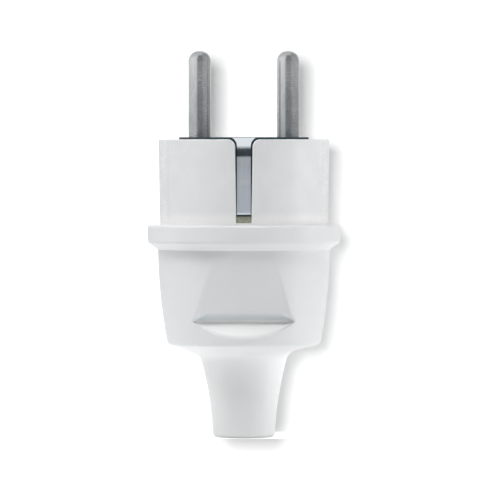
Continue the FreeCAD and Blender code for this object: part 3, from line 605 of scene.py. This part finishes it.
def combine(piece: bpy.types.Object, tool: bpy.types.Object, operation: str) -> None:
    """Adds a tool's form to a piece or takes it away, and removes the tool.

    Args:
        piece: The piece that changes.
        tool: The form.
        operation: UNION or DIFFERENCE.
    """
    pick(piece)
    change = piece.modifiers.new("change", "BOOLEAN")
    change.operation = operation
    change.solver = "EXACT"
    change.object = tool
    bpy.ops.object.modifier_apply(modifier=change.name)
    bpy.data.objects.remove(tool)


def ride_along(piece: bpy.types.Object, name: str, material: bpy.types.Material) -> None:
    """Names a new piece, dresses it and lets it ride.

    Args:
        piece: The piece, in place.
        name: Its new name.
        material: Its finish.
    """
    pick(piece)
    bpy.ops.object.transform_apply(location=True, rotation=True, scale=True)
    piece.name = name
    piece.data.materials.clear()
    piece.data.materials.append(material)
    bpy.ops.object.shade_smooth_by_angle(angle=SMOOTH_ANGLE)
    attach(piece, BODY)
    LOG.info("made %s", piece.name)


def finish_piece(piece: bpy.types.Object, node: str, material: bpy.types.Material) -> None:
    """Finishes a new piece that replaces a CAD node."""
    ride_along(piece, f"{node}_made", material)
    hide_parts(node)


@dataclass(frozen=True)
class ScrewKind:
    """One size of slotted screw, modelled head up, with its head's underside at zero."""

    shank_radius: float
    head_radius: float
    head_height: float
    length: float
    pitch: float
    thread_depth: float
    slot_width: float = 0.8 * MM
    slot_depth: float = 0.9 * MM
    slot_round: float = 0.1 * MM
    rim_round: float = 0.32 * MM
    point_taper: float = 0.25
    thread_foot: float = 0.42
    thread_crest: float = 0.09
    thread_sink: float = 0.25
    thread_start: float = 0.3
    thread_free: float = 1.6
    around: int = 40

    def model(self) -> bpy.types.Object:
        """Models the screw.

        Returns:
            The screw, head up at the origin.
        """
        head = self.head()
        pick(head, self.shank(), self.thread())
        bpy.ops.object.join()
        return head

    def head(self) -> bpy.types.Object:
        """The head: a short drum with a rounded rim and a slot sunk across it.

        Returns:
            The head.
        """
        deselect()
        bpy.ops.mesh.primitive_cylinder_add(
            vertices=self.around,
            radius=self.head_radius,
            depth=self.head_height,
            location=(0, 0, self.head_height / 2),
        )
        head = bpy.context.object
        bpy.ops.object.transform_apply(location=True)
        round_faces(head, lambda normal: normal.z > STRAIGHT, self.rim_round, 4)
        self.cut_slot(head)
        return head

    def cut_slot(self, head: bpy.types.Object) -> None:
        """Sinks the slot for the screwdriver.

        Args:
            head: The head.
        """
        deselect()
        top = self.head_height - self.slot_depth + self.head_height
        bpy.ops.mesh.primitive_cube_add(size=1, location=(0, 0, top))
        cutter = bpy.context.object
        cutter.scale = (self.slot_width, 2.5 * self.head_radius, 2 * self.head_height)
        bpy.ops.object.transform_apply(scale=True, location=True)
        round_faces(cutter, lambda normal: normal.z < -STRAIGHT, self.slot_round)
        combine(head, cutter, "DIFFERENCE")

    def shank(self) -> bpy.types.Object:
        """The shank's core, with a tapered end.

        Returns:
            The shank.
        """
        deselect()
        core = self.shank_radius - self.thread_depth
        bpy.ops.mesh.primitive_cylinder_add(
            vertices=self.around, radius=core, depth=self.length, location=(0, 0, -self.length / 2)
        )
        shank = bpy.context.object
        bpy.ops.object.transform_apply(location=True)
        round_faces(shank, lambda normal: normal.z < -STRAIGHT, core * self.point_taper)
        return shank

    def thread(self) -> bpy.types.Object:
        """The thread: a ridge wound round the core by a screw of its section.

        Returns:
            The thread.
        """
        deselect()
        root = self.shank_radius - self.thread_depth * (1 + self.thread_sink)
        foot = self.thread_foot * self.pitch
        crest = self.thread_crest * self.pitch
        turns = int((self.length - self.thread_free * self.pitch) / self.pitch)
        bpy.ops.mesh.primitive_plane_add(size=1, location=(0, 0, 0))
        ridge = bpy.context.object
        start = -self.length + self.thread_start * self.pitch + foot
        corners = [
            (root, 0.0, start - foot),
            (self.shank_radius, 0.0, start - crest),
            (root, 0.0, start + foot),
            (self.shank_radius, 0.0, start + crest),
        ]
        for vertex, corner in zip(ridge.data.vertices, corners):
            vertex.co = corner
        wound = ridge.modifiers.new("winding", "SCREW")
        wound.axis = "Z"
        wound.screw_offset = self.pitch
        wound.iterations = turns
        wound.steps = wound.render_steps = self.around
        wound.use_normal_calculate = True
        bpy.ops.object.modifier_apply(modifier=wound.name)
        bpy.ops.object.mode_set(mode="EDIT")
        bpy.ops.mesh.select_all(action="SELECT")
        bpy.ops.mesh.remove_doubles(threshold=WELD)
        bpy.ops.mesh.select_all(action="DESELECT")
        bpy.ops.mesh.select_mode(type="EDGE")
        bpy.ops.mesh.select_non_manifold(extend=False)
        bpy.ops.mesh.fill()
        bpy.ops.mesh.select_all(action="SELECT")
        bpy.ops.mesh.normals_make_consistent(inside=False)
        bpy.ops.object.mode_set(mode="OBJECT")
        return ridge


def seat_of(node: str, facing: Facing, head_height: float) -> Point:
    """Where a screw's head rests, read from the CAD node that the screw stands for.

    Args:
        node: The screw's CAD node.
        facing: The way that its head points.
        head_height: How high its head is.

    Returns:
        The centre of the head's underside.
    """
    low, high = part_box(node)
    way = Vector(facing.value)
    middle = (low + high) / 2
    reach = (high - low).dot(Vector(map(abs, way))) / 2
    return tuple(middle + way * (reach - head_height))


@dataclass
class Fasteners:
    """Screws that hold the wires, the retainer, the cable clamp and the hood."""

    terminal: ScrewKind = ScrewKind(
        shank_radius=1.25 * MM,
        head_radius=2.0 * MM,
        head_height=1.4 * MM,
        length=4.6 * MM,
        pitch=0.45 * MM,
        thread_depth=0.25 * MM,
    )
    retainer: ScrewKind = ScrewKind(
        shank_radius=1.25 * MM,
        head_radius=2.0 * MM,
        head_height=1.4 * MM,
        length=7.0 * MM,
        pitch=0.9 * MM,
        thread_depth=0.33 * MM,
    )
    clamp: ScrewKind = ScrewKind(
        shank_radius=1.45 * MM,
        head_radius=2.5 * MM,
        head_height=2.0 * MM,
        length=14.4 * MM,
        pitch=0.5 * MM,
        thread_depth=0.28 * MM,
    )
    housing: ScrewKind = ScrewKind(
        shank_radius=1.75 * MM,
        head_radius=3.0 * MM,
        head_height=1.9 * MM,
        length=6.1 * MM,
        pitch=0.6 * MM,
        thread_depth=0.33 * MM,
    )

    def build(self, material: bpy.types.Material) -> None:
        """Makes every screw.

        Args:
            material: The plating.
        """
        pairs = [
            (self.terminal, Facing.FRONT, "terminal_screw"),
            (self.retainer, Facing.DOWN, "retainer_screw"),
            (self.clamp, Facing.FRONT, "cord_clamp_screw"),
        ]
        for kind, facing, name in pairs:
            self.set_in(kind, facing, [f"{name}_{side.word}" for side in Side], material)
        self.set_in(self.terminal, Facing.RIGHT, ["earth_terminal_screw"], material)
        self.set_in(self.housing, Facing.REAR, ["housing_screw"], material)

    def set_in(
        self, kind: ScrewKind, facing: Facing, nodes: Iterable[str], material: bpy.types.Material
    ) -> None:
        """Models one screw and sets copies of it in.

        Args:
            kind: Their size.
            facing: The way that their heads point.
            nodes: The CAD nodes that they stand for.
            material: The plating.
        """
        seats = {node: seat_of(node, facing, kind.head_height) for node in nodes}
        pattern = kind.model()
        turn = Vector((0, 0, 1)).rotation_difference(Vector(facing.value)).to_matrix().to_4x4()
        for node, spot in seats.items():
            screw = copy_of(pattern)
            screw.data.transform(Matrix.Translation(spot) @ turn)
            finish_piece(screw, node, material)
        bpy.data.objects.remove(pattern)


@dataclass
class EngagementBody:
    """The white body that goes into the socket, with the pins, the dark insert and the strip."""

    white: WhiteMoulding = WhiteMoulding()
    strip: RolledNickel = RolledNickel()
    dark: DarkMoulding = DarkMoulding()

    def build(self) -> None:
        """Dresses the body, the pins, the earth bracket and the insert."""
        dress("front_shell", self.white.make())
        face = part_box("contact_carrier")[1].z
        for side in Side:
            node = f"pin_{side.word}"
            low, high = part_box(node)
            middle = (low.x + high.x) / 2
            dress(node, TurnedNickel(f"{node}_nickel", middle, high.z, face).make())
        dress("earth_bracket", self.strip.make())
        dark = self.dark.make()
        for node in ("contact_carrier", "pin_retainer", "cord_clamp_bar"):
            dress(node, dark)


@dataclass
class StripFeet:
    """The small blocks at the foot of the earth grooves, where the strip goes into the body."""

    half_width: float = 1.6 * MM
    low: float = 46.22 * MM
    high: float = 47.62 * MM
    outer: float = 17.0 * MM
    inner: float = 16.3 * MM
    worn_edge: float = 0.16 * MM
    # Painted shade and painted reflection: the dull olive stands for nickel in shade, mirroring the
    # cream walls round it.
    olive: PlainMetal = PlainMetal(
        "olive_nickel",
        bright=(0.50, 0.515, 0.41),
        dull=(0.35, 0.36, 0.28),
        roughness=0.42,
        blotch_per_mm=1.6,
    )

    def build(self) -> None:
        """Models the front block and copies it to the back."""
        deselect()
        middle = (self.inner + self.outer) / 2
        height = (self.low + self.high) / 2
        bpy.ops.mesh.primitive_cube_add(size=1, location=(0, -middle, height))
        front = bpy.context.object
        front.scale = (2 * self.half_width, self.outer - self.inner, self.high - self.low)
        bpy.ops.object.transform_apply(location=True, scale=True)
        round_faces(
            front, lambda normal: normal.y < -STRAIGHT or normal.z > STRAIGHT, self.worn_edge, 3
        )
        rear = copy_of(front)
        rear.data.transform(Matrix.Rotation(math.pi, 4, "Z"))
        # The blocks carry the painted shade and reflection.
        olive = self.olive.make()
        for piece, name in ((front, "strip_foot_front"), (rear, "strip_foot_rear")):
            ride_along(piece, name, olive)


def soft_low(first: float, second: float, blend: float) -> float:
    """The lower of two numbers, rounded over where they are close.

    Args:
        first: One number.
        second: The other.
        blend: How close they are when the rounding starts.

    Returns:
        The soft minimum.
    """
    near = max(blend - abs(first - second), 0.0) / blend
    return min(first, second) - near * near * blend / 4


def soft_high(first: float, second: float, blend: float) -> float:
    """The higher of two numbers, rounded over where they are close."""
    return -soft_low(-first, -second, blend)


@dataclass(frozen=True)
class ThumbRecess:
    """A thumb recess, in millimetres: how far from the middle plane the skin is allowed.

    Its tilted floor steps in once more near the foot, and a steep ledge leads out to the skin.
    Its sides run straight, and are widest at the crease over the ledge.
    """

    foot: float = 26.5
    reach: float = 13.9
    floor_slope: float = 0.33
    step_slope: float = 1.45
    crease: float = 25.1
    ledge_slope: float = 1.5
    top: float = 40.3
    top_slope: float = 6.0
    soft_edge: float = 0.45
    soft_crease: float = 1.5
    half_width: float = 10.0
    side_slope: float = 0.27
    ledge_narrowing: float = 1.5
    side_wall: float = 1.3
    lining_reach: float = 11.0
    inner_ledge: float = 34.8

    def skin(self, aside: float, height: float) -> float:
        """How far out the outside may be.

        Args:
            aside: How far the place is from the middle of the recess.
            height: Its height over the foot.

        Returns:
            The distance.
        """
        floor = self.reach + self.floor_slope * (height - self.foot)
        step = self.reach + self.step_slope * (height - self.foot)
        depth = self.reach - self.step_slope * (self.foot - self.crease)
        ledge = depth + self.ledge_slope * (self.crease - height)
        under = soft_high(soft_low(floor, step, self.soft_edge), ledge, self.soft_crease)
        brim = self.reach + self.floor_slope * (self.top - self.foot)
        over = brim + self.top_slope * (height - self.top)
        rise = height - self.crease
        narrowing = self.side_slope if rise > 0 else -self.ledge_narrowing
        edge = self.half_width - narrowing * rise
        return max(under, over) + self.side_wall * max(aside - edge, 0.0)

    def lining(self, height: float) -> float:
        """How far out the inside may be at a height over the foot."""
        floor = self.lining_reach + self.floor_slope * (height - self.foot)
        return max(floor, self.inner_ledge - height)


def trace(corners: list[Corner], fine: Callable[[float], float]) -> list[tuple[float, float]]:
    """Follows an outline of straight runs and arcs.

    Args:
        corners: Radius and height of each corner, with the radius of the arc that leads there.
            The arc's radius is negative where its middle lies to the right of the way.
        fine: The step that is wanted at a height.

    Returns:
        Close points along the outline, without the last corner.
    """
    points = []
    for (r0, z0, *_), (r1, z1, *bend) in zip(corners, corners[1:]):
        run, rise = r1 - r0, z1 - z0
        chord = math.hypot(run, rise)
        count = max(1, round(chord / fine((z0 + z1) / 2)))
        radius = bend[0] if bend else 0.0
        sweep = 0.0
        if radius:
            sweep = math.copysign(2 * math.asin(min(chord / 2 / abs(radius), 1.0)), radius)
            count = max(count, round(abs(math.degrees(sweep)) / ARC_STEP))
        for index in range(count):
            along, aside = index / count, 0.0
            if sweep:
                turn = sweep * (along - 0.5)
                reach = math.sin(sweep / 2)
                along = 0.5 + math.sin(turn) / reach / 2
                aside = (math.cos(turn) - math.cos(sweep / 2)) / reach / 2
            points.append((r0 + along * run + aside * rise, z0 + along * rise - aside * run))
    return points


@dataclass
class Hood:
    """The soft white hood: flange, grip, thumb recesses and cable nozzle. In millimetres."""

    recess: ThumbRecess = ThumbRecess()
    around: int = 344
    step: float = 0.5
    fine_step: float = 0.24
    fine_part: Span = (19.0, 41.0)
    inner_step: float = 1.1
    sunk_skin: Span = (19.8, 41.0)
    sunk_lining: Span = (22.0, 40.5)
    edge_softness: float = 0.8
    screw_height: float = 35.0
    screw_seat: float = 13.7
    counterbore: float = 3.3
    screw_way: float = 1.95
    boss_face: float = 11.7
    boss_radius: float = 4.2
    overlap: float = 1.0
    clear_reach: float = 22.0
    drill_around: int = 56
    finish: SoftMoulding = SoftMoulding()

    def outside(self) -> list[tuple[float, float]]:
        """The outside from the nozzle's end up to the flange's rim."""
        corners = [
            (4.7, 0.0),
            (5.78, 0.0),
            (6.68, 0.9, 0.9),
            (9.05, 16.3, -76.0),
            (10.9, 18.65, -3.08),
            (15.2, 19.72),
            (16.52, 20.8, 1.2),
            (18.45, 40.3, 113.0),
            (20.15, 41.55),
            (20.7, 42.45, 0.9),
            (20.7, 45.1),
            (20.1, 45.7, 0.6),
            (17.1, 45.7),
        ]
        low, high = self.fine_part
        return trace(corners, lambda height: self.fine_step if low < height < high else self.step)

    def inside(self) -> list[tuple[float, float]]:
        """The inside from the flange's rim down to the cable's bore."""
        corners = [
            (17.1, 45.7),
            (17.1, 40.6),
            (16.15, 40.6),
            (14.22, 23.42, -113.0),
            (12.9, 22.22, -1.2),
            (4.2, 17.6),
            (4.2, 0.5),
            (4.7, 0.0),
        ]
        return trace(corners, lambda height: self.inner_step)

    def build(self) -> None:
        """Wraps a grid as one closed skin, sinks the recesses and drills the screw's way."""
        outside, inside = self.outside(), self.inside()
        rows = [(*spot, True) for spot in outside] + [(*spot, False) for spot in inside]
        last = len(rows)
        rows.append(rows[0])
        deselect()
        bpy.ops.mesh.primitive_grid_add(x_subdivisions=self.around, y_subdivisions=last, size=1)
        hood = bpy.context.object
        for vertex in hood.data.vertices:
            turn = (vertex.co.x + 0.5) * 2 * math.pi
            radius, height, outer = rows[round((vertex.co.y + 0.5) * last)]
            vertex.co = self.sink(radius * math.cos(turn), radius * math.sin(turn), height, outer)
        bpy.ops.object.mode_set(mode="EDIT")
        bpy.ops.mesh.select_all(action="SELECT")
        bpy.ops.mesh.remove_doubles(threshold=2 * WELD)
        bpy.ops.mesh.normals_make_consistent(inside=False)
        bpy.ops.object.mode_set(mode="OBJECT")
        seat, face = self.screw_seat, self.boss_face
        self.drill(hood, self.boss_radius, face, seat + self.overlap, "UNION")
        start, end = face - self.overlap, seat + 2 * self.overlap
        self.drill(hood, self.screw_way, start, end, "DIFFERENCE")
        self.drill(hood, self.counterbore, seat, self.clear_reach, "DIFFERENCE")
        finish_piece(hood, "rear_hood", self.finish.make())

    def sink(self, x: float, y: float, height: float, outer: bool) -> Point:
        """Moves a point of the skin in, where a thumb recess is.

        Args:
            x: The point's place along the row of the pins.
            y: Its place from front to back.
            height: Its height.
            outer: Whether it is on the outside.

        Returns:
            The point in metres.
        """
        out = abs(y)
        low, high = self.sunk_skin if outer else self.sunk_lining
        if outer and low < height < high:
            out = max(soft_low(out, self.recess.skin(abs(x), height), self.edge_softness), 0.0)
        elif low < height < high:
            out = min(out, self.recess.lining(height))
        return (x * MM, math.copysign(out, y) * MM, height * MM)

    def drill(
        self, hood: bpy.types.Object, radius: float, start: float, end: float, operation: str
    ) -> None:
        """Adds or takes away a round bar at the housing screw.

        Args:
            hood: The hood.
            radius: The bar's radius.
            start: Where it starts behind the middle plane.
            end: Where it ends.
            operation: UNION or DIFFERENCE.
        """
        deselect()
        bpy.ops.mesh.primitive_cylinder_add(
            vertices=self.drill_around,
            radius=radius * MM,
            depth=(end - start) * MM,
            location=(0, (start + end) / 2 * MM, self.screw_height * MM),
            rotation=(math.pi / 2, 0, 0),
        )
        bar = bpy.context.object
        bpy.ops.object.transform_apply(location=True, rotation=True)
        combine(hood, bar, operation)


@dataclass
class SmallMetal:
    """Brass terminal, rivet and the plated nuts."""

    brass: PlainMetal = PlainMetal("turned_brass", (0.78, 0.59, 0.30), (0.56, 0.39, 0.18), 0.27)
    zinc: PlainMetal = PlainMetal("zinc_plate", (0.70, 0.72, 0.75), (0.52, 0.55, 0.60), 0.25)

    def build(self) -> bpy.types.Material:
        """Dresses the brass and the nuts.

        Returns:
            The plating, for the screws.
        """
        brass, zinc = self.brass.make(), self.zinc.make()
        for node in ("earth_terminal", "earth_rivet"):
            dress(node, brass)
        for node in ("housing_nut", "cord_clamp_nut_left", "cord_clamp_nut_right"):
            dress(node, zinc)
        return zinc


@dataclass(frozen=True)
class SoftBox:
    """A flat lamp with a plain white front."""

    name: str
    spot: Point
    aim: Point
    size: tuple[float, float]
    level: float
    mirrored: bool = True
    lit: Lit = Lit.ALL_BUT_BACKDROP

    def hang(self, groups: dict[Lit, bpy.types.Collection]) -> None:
        """Puts the lamp in its place.

        Args:
            groups: The pieces that each kind of lamp lights.
        """
        light = bpy.data.lights.new(self.name, "AREA")
        light.shape = "RECTANGLE"
        light.size, light.size_y = self.size
        light.energy = self.level * math.pi * self.size[0] * self.size[1]
        lamp = bpy.data.objects.new(self.name, light)
        bpy.context.scene.collection.objects.link(lamp)
        lamp.location = self.spot
        way = Vector(self.aim) - Vector(self.spot)
        lamp.rotation_euler = way.to_track_quat("-Z", "Y").to_euler()
        lamp.visible_glossy = self.mirrored
        lamp.visible_camera = False
        lamp.light_linking.receiver_collection = groups[self.lit]


MIDDLE = (0.0, 0.0, 0.042)
BOXES = (
    SoftBox("rake_box", (-0.04, -0.28, 0.5), MIDDLE, (0.3, 0.2), 8.3, False),
    SoftBox("left_rake_box", (-0.36, -0.05, 0.46), MIDDLE, (0.3, 0.25), 4.7, False),
    SoftBox("right_box", (0.5, 0.0, 0.04), MIDDLE, (0.5, 0.4), 2.9, False),
    SoftBox("under_left_card", (-0.062, -0.03, 0.0015), (-0.062, -0.03, 1.0), (0.1, 0.12), 0.28),
    SoftBox("under_right_card", (0.062, -0.03, 0.0015), (0.062, -0.03, 1.0), (0.1, 0.12), 0.16),
    SoftBox("shadow_lamp", (-0.155, -1.5, 0.17), MIDDLE, (0.26, 0.26), 80.0, False, Lit.BACKDROP),
)


@dataclass
class Studio:
    """White tent, soft boxes, floor and backdrop."""

    side_sky: float = 0.33
    front_sky: float = 0.0
    front_way: Point = (0.17, -0.985, 0.0)
    front_edge: Edge = (0.45, -0.25)
    backdrop_y: float = 0.0225
    backdrop_height: float = 0.15
    backdrop_side: float = 0.6
    paper_glow: float = 0.25
    low_glow: float = 0.45
    floor_glow: float = 0.72
    glow_edge: Edge = (2.0, -1.0)
    floor_edge: float = -0.0075
    floor_reach: float = 1.5
    wall_radius: float = 0.9
    wall_top: float = 2.6
    wall_foot: float = -0.3
    wall_steps: int = 64
    left_edge: Edge = (-0.62, -0.34)
    right_edge: Edge = (0.42, 0.7)
    wall_from: float = math.radians(-100)
    wall_to: float = math.radians(140)
    wall_left: Colour = (1.15, 1.15, 1.15)
    wall_front: Colour = (0.33, 0.33, 0.335)
    wall_right: Colour = (0.56, 0.56, 0.57)

    def build(self) -> None:
        """Sets up the whole studio."""
        self.light_tent()
        self.lay_floor()
        self.bend_wall()
        backdrop = self.hang_backdrop()
        papers = bpy.data.collections.new("papers")
        others = bpy.data.collections.new("all_but_backdrop")
        papers.objects.link(backdrop)
        others.objects.link(backdrop)
        others.collection_objects[0].light_linking.link_state = "EXCLUDE"
        for box in BOXES:
            box.hang({Lit.BACKDROP: papers, Lit.ALL_BUT_BACKDROP: others})

    def shown_straight(self, graph: Graph) -> Wire:
        """One where the camera, a mirror or glass shows a surface, zero where it only lights.

        Args:
            graph: The graph that needs it.

        Returns:
            The wire.
        """
        rays = ("Is Camera Ray", "Is Glossy Ray", "Is Transmission Ray")
        seen = [graph.add("ShaderNodeLightPath", output=ray) for ray in rays]
        return seen[0].higher(seen[1].higher(seen[2]))

    def light_tent(self) -> None:
        """Lights the tent from round about, darker at the camera, and shows it white."""
        world = bpy.data.worlds.new("tent")
        bpy.context.scene.world = world
        world.use_nodes = True
        graph = Graph(world.node_tree)
        way = graph.add("ShaderNodeTexCoord", output="Generated")
        settings = {"operation": "DOT_PRODUCT"}
        towards = graph.add("ShaderNodeVectorMath", settings, {0: way, 1: self.front_way}, "Value")
        around = towards.ramp(*self.front_edge)
        tent = self.front_sky + around * (self.side_sky - self.front_sky)
        strength = tent + self.shown_straight(graph) * (1.0 - tent)
        values = {"Color": (1.0, 1.0, 1.0), "Strength": strength}
        sky = graph.add("ShaderNodeBackground", None, values)
        graph.add("ShaderNodeOutputWorld", None, {"Surface": sky})

    def paper(self, name: str, one_sided: bool, low_glow: float) -> bpy.types.Material:
        """White paper that shows white and keeps shadows.

        Args:
            name: The material's name.
            one_sided: Whether it is clear from behind.
            low_glow: How much more than its light the paper shows at the foot and below.

        Returns:
            The material.
        """
        material, graph = blank(name)
        grain = graph.noise(graph.place(), 0.4, 4.0)
        colour = graph.blend(grain, (0.87, 0.87, 0.87), (0.88, 0.88, 0.88))
        sheet = graph.add("ShaderNodeBsdfDiffuse", None, {"Color": colour})
        below = graph.axis(graph.place(), "Z").ramp(*self.glow_edge)
        level = graph.blend(below, (self.paper_glow,) * 3, (low_glow,) * 3)
        shown = graph.blend(self.shown_straight(graph), (0.0, 0.0, 0.0), level)
        white = graph.add("ShaderNodeEmission", None, {"Color": shown, "Strength": 1.0})
        surface = graph.add("ShaderNodeAddShader", None, {0: sheet, 1: white})
        if one_sided:
            behind = graph.add("ShaderNodeNewGeometry", output="Backfacing")
            clear = graph.add("ShaderNodeBsdfTransparent")
            surface = graph.add("ShaderNodeMixShader", None, {0: behind, 1: surface, 2: clear})
        graph.add("ShaderNodeOutputMaterial", None, {"Surface": surface})
        return material

    def lay_floor(self) -> None:
        """Lays the floor. Its near part only throws light up, so that the backdrop shows below."""
        near, reach = self.floor_edge, self.floor_reach
        for name, front, back in (("floor", near, reach), ("near_floor", -reach, near)):
            deselect()
            bpy.ops.mesh.primitive_plane_add(size=1, location=(0, (front + back) / 2, 0))
            floor = bpy.context.object
            floor.name = name
            floor.scale = (2 * reach, back - front, 1)
            bpy.ops.object.transform_apply(location=True, scale=True)
            glow = self.floor_glow if name == "floor" else self.low_glow
            floor.data.materials.append(self.paper(f"{name}_paper", False, glow))
            floor.visible_shadow = False
            floor.visible_camera = name == "floor"

    def bend_wall(self) -> None:
        """Bends a wall round the front that only reflections show."""
        deselect()
        first, last = self.wall_from, self.wall_to
        bpy.ops.mesh.primitive_grid_add(x_subdivisions=self.wall_steps, y_subdivisions=1, size=1)
        wall = bpy.context.object
        wall.name = "reflection_wall"
        for vertex in wall.data.vertices:
            turn = first + (vertex.co.x + 0.5) * (last - first)
            rise = (vertex.co.y + 0.5) * (self.wall_top - self.wall_foot)
            side, front = self.wall_radius * math.sin(turn), self.wall_radius * math.cos(turn)
            vertex.co = (side, -front, self.wall_foot + rise)
        material, graph = blank("wall_grey")
        spot = graph.add("ShaderNodeTexCoord", output="Object")
        across = graph.axis(spot, "X") / self.wall_radius
        grey = graph.blend(across.ramp(*self.left_edge), self.wall_left, self.wall_front)
        grey = graph.blend(across.ramp(*self.right_edge), grey, self.wall_right)
        shine = graph.add("ShaderNodeEmission", None, {"Color": grey, "Strength": 1.0})
        graph.add("ShaderNodeOutputMaterial", None, {"Surface": shine})
        material.cycles.emission_sampling = "NONE"
        wall.data.materials.append(material)
        wall.visible_camera = wall.visible_diffuse = False
        wall.visible_transmission = wall.visible_shadow = False

    def hang_backdrop(self) -> bpy.types.Object:
        """Hangs the paper close behind the plug, where it only takes the shadow, and returns it."""
        deselect()
        bpy.ops.mesh.primitive_plane_add(
            size=self.backdrop_side,
            location=(0, self.backdrop_y, self.backdrop_height),
            rotation=(math.pi / 2, 0, 0),
        )
        paper = bpy.context.object
        bpy.ops.object.transform_apply(location=True, rotation=True)
        paper.name = "backdrop"
        paper.data.materials.append(self.paper("backdrop_paper", True, self.low_glow))
        paper.visible_diffuse = paper.visible_glossy = False
        paper.visible_transmission = paper.visible_shadow = False
        return paper


@dataclass
class FrontCamera:
    """The camera at the photograph's place: far off, a little above, square to the front."""

    image_width: float = 500.0
    pixels_per_mm: float = 4.65
    axis_pixel: float = 243.9
    foot_pixel: float = 437.0
    distance: float = 1.3
    drop: float = math.radians(1.0)
    sensor: float = 36.0

    def build(self) -> None:
        """Makes the camera and gives it to the scene."""
        half = self.image_width / 2
        aim = Vector(
            (
                (half - self.axis_pixel) / self.pixels_per_mm * MM,
                0.0,
                (self.foot_pixel - half) / self.pixels_per_mm * MM,
            )
        )
        data = bpy.data.cameras.new("front_camera")
        data.sensor_width = self.sensor
        data.lens = self.sensor * self.distance / (self.image_width / self.pixels_per_mm * MM)
        camera = bpy.data.objects.new("front_camera", data)
        bpy.context.scene.collection.objects.link(camera)
        back = Vector((0.0, -math.cos(self.drop), math.sin(self.drop)))
        camera.location = aim + back * self.distance
        camera.rotation_euler = (-back).to_track_quat("-Z", "Y").to_euler()
        bpy.context.scene.camera = camera


def main() -> None:
    """Builds the looks piece by piece."""
    logging.basicConfig(level=logging.INFO, format="%(name)s: %(message)s")
    bpy.context.scene.view_settings.view_transform = "Standard"
    EngagementBody().build()
    StripFeet().build()
    Hood().build()
    plating = SmallMetal().build()
    Fasteners().build(plating)
    Studio().build()
    FrontCamera().build()


if __name__ == "__main__":
    main()
